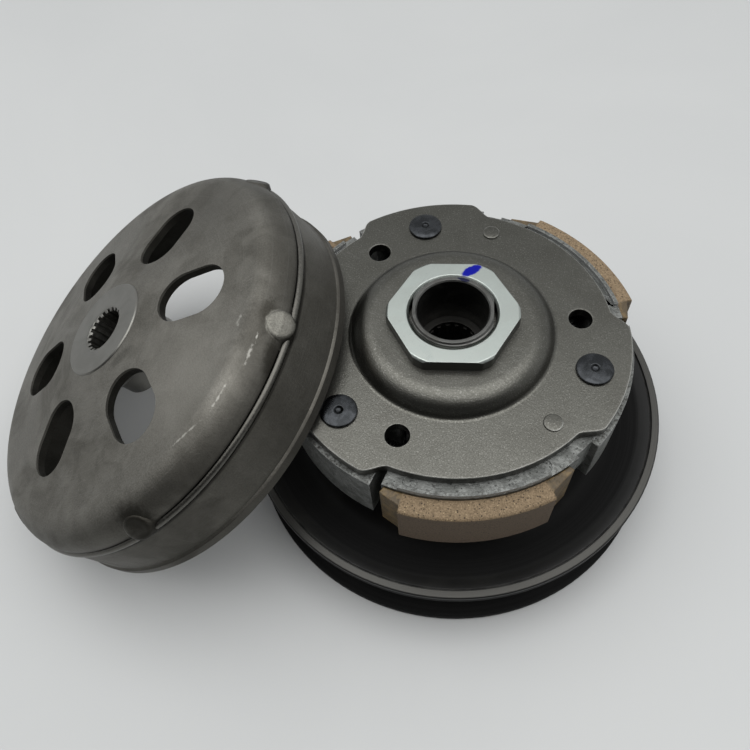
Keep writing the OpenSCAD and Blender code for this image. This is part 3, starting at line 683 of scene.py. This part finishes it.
# %% Press the crimps
FIRST_CRIMP, CRIMP_LEAN = 14.6, 58
CRIMP_R, CRIMP_RISE = 71.1, 2.2
CRIMP_SIDES = 48
FOOT_HOLD = (1.0, 1.0, 0.75, 0.4, 0.1)
CRIMP_RINGS = [(0.0, 1.15), (1.5, 1.2), (2.9, 1.34), (3.7, 1.3), (4.3, 1.0), (4.7, 0.4), (5.1, -0.1),
               (5.7, -0.45), (6.6, -0.7), (7.8, -0.9)]
bpy.ops.mesh.primitive_circle_add(vertices=CRIMP_SIDES, radius=CRIMP_RINGS[-1][0] * MM,
                                  fill_type="NOTHING")
crimp = bpy.context.object
bpy.ops.object.mode_set(mode="EDIT")
bpy.ops.transform.translate(value=(0, 0, CRIMP_RINGS[-1][1] * MM))
for (r, h), (old_r, old_h) in zip(CRIMP_RINGS[-2:0:-1], CRIMP_RINGS[:1:-1]):
    bpy.ops.mesh.extrude_edges_move(TRANSFORM_OT_translate={"value": (0, 0, (h - old_h) * MM)})
    bpy.ops.transform.resize(value=(r / old_r, r / old_r, 1), center_override=(0, 0, 0))
bpy.ops.mesh.edge_face_add()
bpy.ops.mesh.poke()
bpy.ops.mesh.select_all(action="SELECT")
bpy.ops.mesh.normals_make_consistent(inside=False)
bpy.ops.object.mode_set(mode="OBJECT")
crimp.data.transform(Matrix.Translation((CRIMP_R * MM, 0, (SHOULDER_LOW + CRIMP_RISE) * MM))
                     @ Matrix.Rotation(math.radians(CRIMP_LEAN), 4, "Y"))
print("crimp:", len(crimp.data.polygons), "faces")

# %% Lay six crimps on the drum
crimps = []
for count in range(6):
    pick_only(crimp)
    bpy.ops.object.duplicate()
    copy = bpy.context.object
    copy.rotation_euler.z = math.radians(FIRST_CRIMP + 60 * count)
    bpy.ops.object.transform_apply(rotation=True)
    lay_bell_piece(copy)
    foot = copy.vertex_groups.new(name="foot")
    for ring in range(len(CRIMP_RINGS) - 1):
        points = list(range(CRIMP_SIDES * ring, CRIMP_SIDES * (ring + 1)))
        foot.add(points, FOOT_HOLD[ring] if ring < len(FOOT_HOLD) else 0.0, "REPLACE")
    laying = copy.modifiers.new("laying", "SHRINKWRAP")
    laying.target = drum
    laying.vertex_group = "foot"
    laying.offset = 0.03 * MM
    bpy.ops.object.modifier_apply(modifier="laying")
    crimps.append(copy)
bpy.data.objects.remove(crimp)
for copy in crimps:
    copy.select_set(True)
bpy.ops.object.join()
crimps = bpy.context.object
crimps.name = "bell_crimps"
bpy.ops.object.shade_smooth()
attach(crimps, "bell")
finished["bell_drum"].append(crimps)
print("crimps:", len(crimps.data.polygons), "faces")

# %% [markdown]
# ## Starting a finish
#
# Each finish starts the same way: one Principled shader, and the point's own
# place in millimetres. The bell stands tilted, so its finishes first turn that
# place into the bell's own directions, and its rings then run round its own axis.

# %% New finish
def new_finish(name, metallic, roughness, centre=None, lean=None):
    material = bpy.data.materials.new(name)
    material.use_nodes = True
    tree = material.node_tree
    tree.nodes.clear()
    shader = add(tree, "BsdfPrincipled", {"Metallic": metallic, "Roughness": roughness})
    add(tree, "OutputMaterial", {"Surface": shader.outputs[0]})
    place = add(tree, "TexCoord").outputs["Object"]
    if centre is not None:
        place = add(tree, "Mapping", {0: place, 1: centre, 2: lean}, vector_type="TEXTURE").outputs[0]
    place = add(tree, "VectorMath", {0: place, 3: 1000.0}, operation="SCALE").outputs[0]
    return material, tree, shader, place


def raise_surface(tree, shader, height, depth_mm, strength=1.0, width=0.0):
    bump = add(tree, "Bump", {"Height": height, "Distance": depth_mm * MM, "Strength": strength})
    if width:
        soft = add(tree, "Bevel", {"Radius": width * MM}, samples=4)
        tree.links.new(soft.outputs[0], bump.inputs["Normal"])
    tree.links.new(bump.outputs[0], shader.inputs["Normal"])


def feed(tree, shader, **values):
    for name, value in values.items():
        tree.links.new(value, shader.inputs[name.replace("_", " ")])


def facing_up(tree):
    normal = add(tree, "NewGeometry").outputs["Normal"]
    own = add(tree, "VectorTransform", {0: normal}, vector_type="NORMAL",
              convert_from="WORLD", convert_to="OBJECT").outputs[0]
    return split(tree, own)[2]


def wear(material, *names):
    for name in names:
        shown = finished.get(name, [])
        for piece in [frame["nodes"][name]] + shown:
            piece.data.materials.clear()
            piece.data.materials.append(material)
    print(material.name, "on", ", ".join(names))


print("finish helpers ready")

# %% [markdown]
# ## Blackened sheaves
#
# The two faces that grip the belt are steel with a thin black coat. The coat is
# nearly smooth and has a low satin gloss. The top of the movable face's rim was
# turned after coating, so it is bare grey steel with a dark step inside it, and
# handling has rubbed the outer edges.

# %% Black sheave finish
BAND_R, BAND_LOW = 74.1, 28.35
black_face, tree, shader, place = new_finish("black_face", 0.0, 0.42)
shader.inputs["Specular IOR Level"].default_value = 0.25
lathe = effect(tree, turned, Place=place, Marks_per_mm=2.2)
radius = lathe["Radius"]
dust = mask_of(tree, clouds, place, Size=26.0, Low=0.5, High=0.75)
coat = tint(tree, dust, (0.0075, 0.0074, 0.0070), (0.014, 0.0138, 0.0125))
rub = mask_of(tree, worn, place, Width=0.5, Patchy=6.0)
coat = dab(tree, rub, 0.5, coat, (0.09, 0.088, 0.082))
height = split(tree, place)[2]
band = times(tree, window(tree, radius, BAND_R, BAND_R + 0.2),
             window(tree, height, BAND_LOW, BAND_LOW + 0.15))
# Painted highlight: a thin lighter line is painted along the outer edge of the turned band.
painted_sheave_edge_highlight = window(tree, radius, 76.2, 77.2)
bare = tint(tree, lathe["Value"], (0.040, 0.039, 0.036), (0.105, 0.103, 0.096))
bare = tint(tree, painted_sheave_edge_highlight, bare, (0.21, 0.208, 0.196))
# Painted shade: the outer part of the sheaves round the belt groove is painted near black, and made
# rougher.
painted_belt_groove_shade = times(tree, window(tree, radius, 55.0, 62.0), window(tree, height, 27.6, 27.0))
coat = dab(tree, painted_belt_groove_shade, 0.85, coat, (0.0015, 0.0015, 0.0015))
shade = window(tree, lathe["Value"], 0.3, 0.7, 0.36, 0.48)
feed(tree, shader, Base_Color=tint(tree, band, coat, bare), Metallic=times(tree, band, 0.9),
     Roughness=calc(tree, "ADD", shade, times(tree, painted_belt_groove_shade, 0.4)))
skin = effect(tree, grain, Place=place, Size=0.35, Contrast=1.0)["Value"]
raise_surface(tree, shader, calc(tree, "ADD", skin, lathe["Value"]), 0.012, 1.0, 0.4)
wear(black_face, "fixed_face", "movable_face")

# %% [markdown]
# ## Hub tube
#
# The tube is turned bar, a little darker than the nut. Its end carries a fine
# thread, which here is a shallow ripple in the surface: the ripple climbs one
# pitch for each turn, as a real thread does.

# %% Turned tube finish
tube_steel, tree, shader, place = new_finish("tube_steel", 1.0, 0.38)
lathe = effect(tree, turned, Place=place, Marks_per_mm=5.0)
stain = mask_of(tree, clouds, place, Size=6.0, Low=0.4, High=0.7)
steel = tint(tree, lathe["Value"], (0.075, 0.076, 0.073), (0.17, 0.169, 0.16))
steel = dab(tree, stain, 0.5, steel, (0.045, 0.043, 0.038))
apart = split(tree, place)
turn = calc(tree, "ARCTAN2", apart[1], apart[0])
climb = calc(tree, "ADD", apart[2], times(tree, turn, 1.0 / math.tau))
thread = calc(tree, "PINGPONG", climb, 0.5)
threaded = times(tree, window(tree, lathe["Radius"], 13.5, 13.7),
                window(tree, apart[2], 72.0, 72.4))
paint = spot(tree, place, (2.9, 12.6, 81.4), (0.91, -0.41, 0.0), 2.6, 1.3, 0.5)
steel = dab(tree, paint, 0.85, steel, (0.006, 0.008, 0.045))
feed(tree, shader, Base_Color=steel, Roughness=window(tree, stain, 0, 1, 0.34, 0.5))
ridge = times(tree, thread, times(tree, threaded, 30.0))
raise_surface(tree, shader, calc(tree, "ADD", ridge, lathe["Value"]), 0.015, 1.0, 0.25)
wear(tube_steel, "hub_tube")

# %% [markdown]
# ## Pressed plate
#
# The drive plate is thick sheet steel with the warm grey of mill scale that was
# tumbled off. Its skin is a fine pepper, and its brightest grains are painted
# lighter as glints, a painted highlight that sparkles where the light catches it.
# Punched edges are rubbed brighter. Near the rim the rounded top edge carries a
# painted highlight and the faces that do not face up a painted shade, and the
# plate is painted darker towards its far side as shade.

# %% Plate finish
plate_steel, tree, shader, place = new_finish("plate_steel", 1.0, 0.42)
pepper = effect(tree, grain, Place=place, Size=0.45, Contrast=1.7)["Value"]
fine = effect(tree, grain, Place=place, Size=1.6, Contrast=1.5)["Value"]
stain = mask_of(tree, clouds, place, Size=14.0, Low=0.42, High=0.68)
steel = tint(tree, pepper, (0.084, 0.082, 0.072), (0.156, 0.154, 0.138))
steel = dab(tree, stain, 0.25, steel, (0.068, 0.065, 0.056))
# Painted shade: the plate is painted darker towards its far side.
scale = window(tree, split(tree, place)[1], -45.0, 50.0, 0.0, 0.36)
steel = tint(tree, scale, steel, (0.038, 0.038, 0.033))
# Painted highlight: the brightest grains of the pepper are painted lighter as glints.
painted_glint = window(tree, pepper, 0.62, 0.84)
steel = dab(tree, painted_glint, 0.4, steel, (0.30, 0.297, 0.275))
edge = mask_of(tree, worn, place, Width=0.9, Patchy=2.0)
steel = dab(tree, edge, 0.5, steel, (0.30, 0.295, 0.275))
up = facing_up(tree)
# Painted highlight: the rounding along the top edge of the plate's rim is painted pale as a line of
# light.
painted_plate_edge_highlight = times(tree, window(tree, up, 0.15, 0.4), window(tree, up, 0.97, 0.85))
far = effect(tree, turned, Place=place, Marks_per_mm=1.0)["Radius"]
painted_plate_edge_highlight = times(tree, painted_plate_edge_highlight, window(tree, far, 46.0, 48.0))
steel = dab(tree, painted_plate_edge_highlight, 0.9, steel, (0.55, 0.545, 0.51))
# Painted shade: near the rim, the faces that do not face up are painted darker.
side = times(tree, window(tree, up, 0.3, 0.1), window(tree, far, 46.0, 48.0))
steel = dab(tree, side, 0.6, steel, (0.02, 0.02, 0.018))
marks = mask_of(tree, scratches, place, Angle=0.5, Spacing=1.0, Length=16.0)
steel = dab(tree, marks, 0.3, steel, (0.26, 0.255, 0.24))
feed(tree, shader, Base_Color=steel, Roughness=window(tree, pepper, 0.2, 0.8, 0.40, 0.30))
raise_surface(tree, shader, calc(tree, "ADD", pepper, fine), 0.035)
wear(plate_steel, "drive_plate", "damper_pins")

# %% [markdown]
# ## Zinc-plated nut
#
# Plating leaves a pale, slightly green silver that is smooth but not polished.
# Spanners and fingers leave faint clouds in it. The inspector's blue paint mark
# runs across the nut and on to the tube's end, so that a nut that has turned shows.

# %% Nut finish
nut_zinc, tree, shader, place = new_finish("nut_zinc", 1.0, 0.3)
shader.inputs["Specular IOR Level"].default_value = 0.1
cloud = mask_of(tree, clouds, place, Size=6.0, Low=0.35, High=0.75)
skin = effect(tree, grain, Place=place, Size=0.4, Contrast=1.2)["Value"]
zinc = tint(tree, cloud, (0.435, 0.468, 0.438), (0.372, 0.407, 0.383))
zinc = dab(tree, skin, 0.2, zinc, (0.49, 0.525, 0.50))
marks = mask_of(tree, scratches, place, Angle=2.1, Spacing=0.5, Length=6.0)
zinc = dab(tree, marks, 0.5, zinc, (0.24, 0.26, 0.25))
edge = mask_of(tree, worn, place, Width=0.5, Patchy=2.0)
zinc = dab(tree, edge, 0.5, zinc, (0.55, 0.58, 0.56))
# Painted shade: the faces of the nut that do not face up are painted nearly black.
zinc = tint(tree, window(tree, facing_up(tree), 0.5, 0.15), zinc, (0.055, 0.058, 0.055))
paint = spot(tree, place, (5.5, 16.9, 80.0), (0.82, 0.57, 0.0), 4.3, 2.0, 0.5)
feed(tree, shader, Base_Color=tint(tree, paint, zinc, (0.003, 0.006, 0.27)),
     Metallic=calc(tree, "SUBTRACT", 1.0, paint), Roughness=window(tree, cloud, 0, 1, 0.31, 0.42))
raise_surface(tree, shader, skin, 0.008, 1.0, 0.3)
wear(nut_zinc, "hub_nut")

# %% [markdown]
# ## Blued pins
#
# The pivot pins and the rivets of the damper pins are hardened, which leaves a
# blue-black skin. Their heads were spun down in a press, and the rings of that
# tool show round the centre.

# %% Pin finish
pin_steel, tree, shader, place = new_finish("pin_steel", 1.0, 0.34)
cloud = mask_of(tree, clouds, place, Size=3.0, Low=0.4, High=0.65)
skin = effect(tree, grain, Place=place, Size=0.25, Contrast=1.3)["Value"]
blued = tint(tree, cloud, (0.032, 0.034, 0.036), (0.052, 0.055, 0.059))
edge = mask_of(tree, worn, place, Width=0.3, Patchy=1.5)
blued = dab(tree, edge, 0.5, blued, (0.16, 0.165, 0.17))
feed(tree, shader, Base_Color=blued, Roughness=window(tree, skin, 0.2, 0.8, 0.22, 0.36))
raise_surface(tree, shader, skin, 0.012)
wear(pin_steel, "pivot_pins", "pivot_clips")

# %% [markdown]
# ## Die-cast shoes
#
# The shoes are cast in a zinc-aluminium alloy. The mould leaves a skin that is
# cloudy, light grey and slightly blistered, with dark pits and release marks, and
# the edges catch the light where the flash was trimmed.

# %% Cast alloy finish
shoe_alloy, tree, shader, place = new_finish("shoe_alloy", 0.85, 0.5)
flow = mask_of(tree, clouds, place, Size=4.0, Low=0.38, High=0.62)
skin = effect(tree, grain, Place=place, Size=0.9, Contrast=1.5)["Value"]
pits = mask_of(tree, specks, place, Size=1.0, Share=0.2)
alloy = tint(tree, flow, (0.185, 0.19, 0.18), (0.090, 0.094, 0.087))
alloy = dab(tree, skin, 0.35, alloy, (0.32, 0.325, 0.315))
alloy = dab(tree, pits, 0.6, alloy, (0.05, 0.05, 0.047))
drag = mask_of(tree, scratches, place, Angle=0.9, Spacing=0.7, Length=5.0)
alloy = dab(tree, drag, 0.6, alloy, (0.035, 0.035, 0.033))
far = effect(tree, turned, Place=place, Marks_per_mm=1.0)["Radius"]
crust = times(tree, window(tree, far, 53.5, 58.5), window(tree, skin, 0.5, 0.62))
crust = times(tree, crust, window(tree, facing_up(tree), 0.5, 0.9, 0.25, 1.0))
alloy = dab(tree, crust, 0.7, alloy, (0.06, 0.057, 0.05))
edge = mask_of(tree, worn, place, Width=0.5, Patchy=2.0)
alloy = dab(tree, edge, 0.6, alloy, (0.5, 0.505, 0.5))
# Painted light: the upright wall of the lip at the shoe's outer top edge is painted light grey and made
# much less metallic.
painted_light_on_lip_wall = times(tree, window(tree, facing_up(tree), 0.75, 0.5), window(tree, far, 54.0, 55.5))
height = split(tree, place)[2]
painted_light_on_lip_wall = times(tree, painted_light_on_lip_wall, window(tree, height, 65.8, 66.1))
alloy = tint(tree, painted_light_on_lip_wall, alloy, tint(tree, skin, (0.16, 0.165, 0.16), (0.42, 0.43, 0.42)))
feed(tree, shader, Base_Color=alloy, Metallic=window(tree, painted_light_on_lip_wall, 0, 1, 0.85, 0.1),
     Roughness=window(tree, skin, 0.2, 0.8, 0.42, 0.62))
lumps = calc(tree, "SUBTRACT", calc(tree, "ADD", skin, flow), pits)
raise_surface(tree, shader, lumps, 0.09, 1.0, 0.5)
wear(shoe_alloy, "shoe_1", "shoe_2", "shoe_3")

# %% [markdown]
# ## Friction linings
#
# A lining is pressed from fibre, resin and metal powder: tan, with dark crumbs
# and a few brassy ones. The face that rubs the bell was ground, so it is browner
# and smoother, and resin has run amber over the thin ends.

# %% Lining finish
LINING_MIDDLE, LINING_SPACING = 20.5, 120.0
THIN_END = 21.2
lining_friction, tree, shader, place = new_finish("lining_friction", 0.0, 0.78)
crumb = effect(tree, grain, Place=place, Size=0.45, Contrast=2.2)["Value"]
dark = mask_of(tree, specks, place, Size=0.7, Share=0.5)
brass = effect(tree, specks, Place=add(tree, "VectorMath", {0: place, 1: (7, 3, 5)}).outputs[0],
               Size=0.6, Share=0.12)["Mask"]
body = tint(tree, crumb, (0.105, 0.070, 0.036), (0.31, 0.225, 0.135))
body = dab(tree, dark, 0.85, body, (0.022, 0.014, 0.008))
body = dab(tree, brass, 0.6, body, (0.50, 0.39, 0.22))
apart = split(tree, place)
turn = times(tree, calc(tree, "ARCTAN2", apart[1], apart[0]), 180.0 / math.pi)
turn = calc(tree, "FLOORED_MODULO", calc(tree, "ADD", turn, LINING_MIDDLE), LINING_SPACING)
from_middle = calc(tree, "ABSOLUTE", calc(tree, "SUBTRACT", turn, LINING_SPACING / 2))
end = window(tree, from_middle, THIN_END, THIN_END + 0.8)
amber = mask_of(tree, clouds, place, Size=3.0)
resin = tint(tree, amber, (0.055, 0.036, 0.012), (0.15, 0.098, 0.034))
body = dab(tree, end, 0.85, body, resin)
rim = effect(tree, turned, Place=place, Marks_per_mm=1.0)["Radius"]
ground = window(tree, rim, 63.88, 63.97)
face = tint(tree, crumb, (0.070, 0.046, 0.027), (0.125, 0.088, 0.054))
face = dab(tree, dark, 0.6, face, (0.025, 0.017, 0.012))
feed(tree, shader, Base_Color=tint(tree, ground, body, face),
     Roughness=window(tree, end, 0, 1, 0.78, 0.45))
raise_surface(tree, shader, calc(tree, "SUBTRACT", crumb, dark), 0.05, 1.0, 0.3)
wear(lining_friction, "lining_1", "lining_2", "lining_3")

# %% [markdown]
# ## The bell's steel
#
# The bell is deep-drawn and then turned outside, where a grey phosphate skin is
# worn by storage and handling. Clouds and long arcs run round its own axis. Old
# rubbing has polished a few streaks along its shoulder.

# %% Bell finish
bell_steel, tree, shader, place = new_finish("bell_steel", 1.0, 0.42, bell_zero, bell_lean)
lathe = effect(tree, turned, Place=place, Marks_per_mm=1.6)
pepper = effect(tree, grain, Place=place, Size=0.5, Contrast=1.8)["Value"]
wide_cloud = mask_of(tree, clouds, place, Size=30.0, Low=0.38, High=0.66)
small_cloud = mask_of(tree, clouds, place, Size=9.0, Low=0.42, High=0.66)
steel = tint(tree, pepper, (0.112, 0.107, 0.094), (0.215, 0.206, 0.183))
steel = dab(tree, wide_cloud, 0.5, steel, (0.072, 0.068, 0.058))
steel = dab(tree, small_cloud, 0.3, steel, (0.25, 0.24, 0.215))
steel = tint(tree, times(tree, window(tree, lathe["Value"], 0.55, 0.75), 0.25), steel,
             (0.23, 0.224, 0.205))
edge = mask_of(tree, worn, place, Width=0.6, Patchy=4.0)
steel = dab(tree, edge, 0.2, steel, (0.30, 0.295, 0.27))
marks = mask_of(tree, scratches, place, Angle=1.2, Spacing=0.8, Length=22.0)
steel = dab(tree, marks, 0.3, steel, (0.34, 0.33, 0.30))
print("bell skin:", len(tree.nodes), "nodes")

# %% [markdown]
# ## Wear, painted light and painted shade on the bell
#
# A pattern alone dirties a surface evenly, and handling never does. Oil has dried
# beside the crimps, something hard has rubbed bright lines on the shoulder, and one
# crimp is polished. Noise can't know such places, so each mark is a patch: a ragged,
# soft-edged ellipse at its own place on the bell, drawn out along its own direction,
# in the bell's millimetres. Two wide patches on the face are painted light and shade,
# and the shoulder, the wire's groove, the rim bead and the inside are painted darker
# as shade.

# %% Painted shade, painted light and stains
UPWARDS = (0.0, 0.0, 1.0)
height = split(tree, place)[2]
radius = lathe["Radius"]
# Painted shade: the outer shoulder, 66 to 70 mm from the axis, is painted darker.
steel = tint(tree, window(tree, radius, 66.0, 70.0, 0.0, 0.5), steel, (0.052, 0.049, 0.042))
# Painted shade: the groove that holds the wire is painted nearly black.
in_groove = times(tree, window(tree, height, -18.2, -17.2), window(tree, height, -12.6, -14.0))
painted_wire_groove_shade = times(tree, window(tree, radius, GROOVE_R - 0.7, GROOVE_R + 0.3), in_groove)
steel = dab(tree, painted_wire_groove_shade, 0.8, steel, (0.012, 0.011, 0.009))
# Painted light and shade: one wide soft patch on the face is painted lighter as a broad highlight, the
# other darker as shade.
for centre, reach, strength, colour in (((32.0, 42.0, -2.0), 34.0, 0.42, (0.30, 0.287, 0.255)),
                                        ((-42.0, 40.0, -4.0), 36.0, 0.45, (0.070, 0.067, 0.058))):
    broad_painted_light_and_shade = spot(tree, place, centre, UPWARDS, reach, reach, 0.4, 1.0)
    steel = dab(tree, broad_painted_light_and_shade, strength, steel, colour)
stains = [((67.5, 19.5, -9.5), (0.3, 0.7, -0.6), 8.5, 6.5, 0.75),
          ((17.0, 67.5, -8.5), (0.9, -0.3, -0.3), 7.0, 4.0, 0.5),
          ((29.0, 66.0, -12.5), (0.88, -0.42, -0.2), 10.0, 4.0, 0.75),
          ((19.5, 64.3, -5.6), (0.94, -0.33, 0.0), 12.0, 6.0, 0.5),
          ((16.5, 13.0, 3.0), (0.5, -0.86, 0.0), 7.0, 2.6, 0.35)]
for centre, along, half_long, half_wide, strength in stains:
    stain = spot(tree, place, centre, Vector(along).normalized(), half_long, half_wide, 0.7, 0.7)
    steel = dab(tree, stain, strength, steel, (0.020, 0.018, 0.014))
print("stains:", len(stains))

# %% Bright rubs
rubs = [((28.5, 62.6, -6.6), (0.86, -0.46, -0.1), 6.5, 0.55),
        ((24.0, 64.6, -6.9), (0.9, -0.4, -0.2), 3.5, 0.4),
        ((40.5, 53.5, -5.3), (0.80, -0.60, 0.0), 8.0, 0.45),
        ((49.5, 42.5, -4.4), (0.5, -0.85, 0.1), 7.0, 0.4),
        ((18.5, 59.5, -4.2), (0.95, -0.25, 0.0), 3.5, 1.0)]
for centre, along, half_long, half_wide in rubs:
    rub = spot(tree, place, centre, Vector(along).normalized(), half_long, half_wide, 3.2, 0.9)
    steel = dab(tree, rub, 0.6, steel, (0.50, 0.49, 0.45))
crimp = spot(tree, place, (19.2, 69.6, -11.0), UPWARDS, 5.0, 5.0, 0.3, 0.2)
polished = tint(tree, pepper, (0.16, 0.155, 0.135), (0.36, 0.35, 0.31))
steel = dab(tree, crimp, 0.75, steel, polished)
print("rubs:", len(rubs))

# %% Rim and inside
# Painted shade: the bead at the open rim is painted darker.
steel = tint(tree, window(tree, radius, 72.0, 72.5, 0.0, 0.4), steel, (0.05, 0.047, 0.041))
# Painted shade: the inside of the drum, below its face and within the bore, is painted nearly black.
face_level = calc(tree, "SUBTRACT", 5.9, times(tree, radius, 0.153))
below = calc(tree, "SUBTRACT", face_level, height)
slack = window(tree, radius, 57.0, 66.0, 0.7, 6.0)
inside = times(tree, calc(tree, "GREATER_THAN", below, slack),
              calc(tree, "LESS_THAN", radius, BORE_R + 0.2))
steel = dab(tree, inside, 0.8, steel, (0.018, 0.017, 0.014))
feed(tree, shader, Base_Color=steel, Roughness=window(tree, wide_cloud, 0, 1, 0.50, 0.64))
raise_surface(tree, shader, calc(tree, "ADD", pepper, lathe["Value"]), 0.05)
wear(bell_steel, "bell_drum")

# %% [markdown]
# ## Bell hub and wire
#
# The splined hub is a forging that is pressed into the drum. Its face is turned,
# and it stays cleaner than the sheet round it. The wire in the drum's corner
# groove is drawn spring wire, which damps the bell's ring: darker, with a fine
# grain and no lathe marks.

# %% Bell hub finish
bell_hub_steel, tree, shader, place = new_finish("bell_hub_steel", 1.0, 0.36, bell_zero, bell_lean)
lathe = effect(tree, turned, Place=place, Marks_per_mm=3.5)
smear = mask_of(tree, clouds, place, Size=8.0, Low=0.4, High=0.7)
steel = tint(tree, lathe["Value"], (0.15, 0.147, 0.134), (0.27, 0.264, 0.245))
steel = dab(tree, smear, 0.3, steel, (0.11, 0.107, 0.095))
feed(tree, shader, Base_Color=steel, Roughness=window(tree, lathe["Value"], 0.3, 0.7, 0.3, 0.45))
raise_surface(tree, shader, lathe["Value"], 0.02, 1.0, 0.25)
wear(bell_hub_steel, "bell_hub")

# %% Wire ring finish
wire_steel, tree, shader, place = new_finish("wire_steel", 1.0, 0.36, bell_zero, bell_lean)
skin = effect(tree, grain, Place=place, Size=0.5, Contrast=1.4)["Value"]
drawn = tint(tree, skin, (0.07, 0.067, 0.059), (0.17, 0.164, 0.148))
feed(tree, shader, Base_Color=drawn, Roughness=window(tree, skin, 0.2, 0.8, 0.3, 0.45))
raise_surface(tree, shader, skin, 0.01)
wear(wire_steel, "bell_wire")

# %% [markdown]
# ## Inner pieces
#
# The pieces under the clutch see little light, but a reader who takes the set
# apart meets them. Springs are dark and oily, the cam sleeve and the spring's
# seat are turned and phosphated, bearings are bright, and rings and seals are
# black rubber.

# %% Plain metals
def plain_metal(name, dark, light, rough, marks_per_mm, *names):
    material, tree, shader, place = new_finish(name, 1.0, rough)
    lathe = effect(tree, turned, Place=place, Marks_per_mm=marks_per_mm)["Value"]
    film = mask_of(tree, clouds, place, Size=5.0, Low=0.4, High=0.7)
    metal = tint(tree, lathe, dark, light)
    metal = dab(tree, film, 0.4, metal, dark)
    feed(tree, shader, Base_Color=metal, Roughness=window(tree, film, 0, 1, rough, rough + 0.12))
    raise_surface(tree, shader, lathe, 0.01, 1.0, 0.2)
    wear(material, *names)


plain_metal("cam_steel", (0.10, 0.10, 0.095), (0.26, 0.255, 0.24), 0.36, 3.0,
            "cam_sleeve", "spring_seat", "guide_pins", "guide_rollers")
plain_metal("spring_steel", (0.09, 0.092, 0.095), (0.24, 0.24, 0.245), 0.3, 1.0,
            "contra_spring", "return_spring_1", "return_spring_2", "return_spring_3")
plain_metal("needle_steel", (0.03, 0.029, 0.027), (0.07, 0.068, 0.064), 0.45, 4.0,
            "needle_shell", "needle_cage", "needles")
plain_metal("bearing_steel", (0.07, 0.068, 0.064), (0.16, 0.157, 0.148), 0.36, 4.0,
            "bearing_outer", "bearing_inner", "bearing_cage", "bearing_balls", "bearing_shields",
            "snap_ring")


# %% Rubber and plastic
def soft_black(name, colour, rough, *names):
    material, tree, shader, place = new_finish(name, 0.0, rough)
    skin = effect(tree, grain, Place=place, Size=0.4, Contrast=1.2)["Value"]
    lighter = tuple(2.2 * c for c in colour)
    feed(tree, shader, Base_Color=tint(tree, skin, colour, lighter),
         Roughness=window(tree, skin, 0.2, 0.8, rough - 0.08, rough + 0.08))
    raise_surface(tree, shader, skin, 0.02, 1.0, 0.2)
    wear(material, *names)


soft_black("seal_rubber", (0.008, 0.008, 0.008), 0.6, "cam_o_rings", "cam_seals",
           "damper_rubbers")
soft_black("collar_plastic", (0.011, 0.011, 0.012), 0.45, "spring_collar")

# %% [markdown]
# ## Table top
#
# The table is matt pale board. One flat colour would look unreal under a lamp, so
# two close tones drift into each other in clouds as wide as the object.

# %% Table finish
table_top, tree, shader, place = new_finish("table_top", 0.0, 0.55)
paper = mask_of(tree, clouds, place, Size=240.0, Low=0.3, High=0.75)
feed(tree, shader, Base_Color=tint(tree, paper, (0.545, 0.553, 0.550), (0.575, 0.582, 0.577)))
table.data.materials.append(table_top)
print("table finish:", table_top.name)

# %% [markdown]
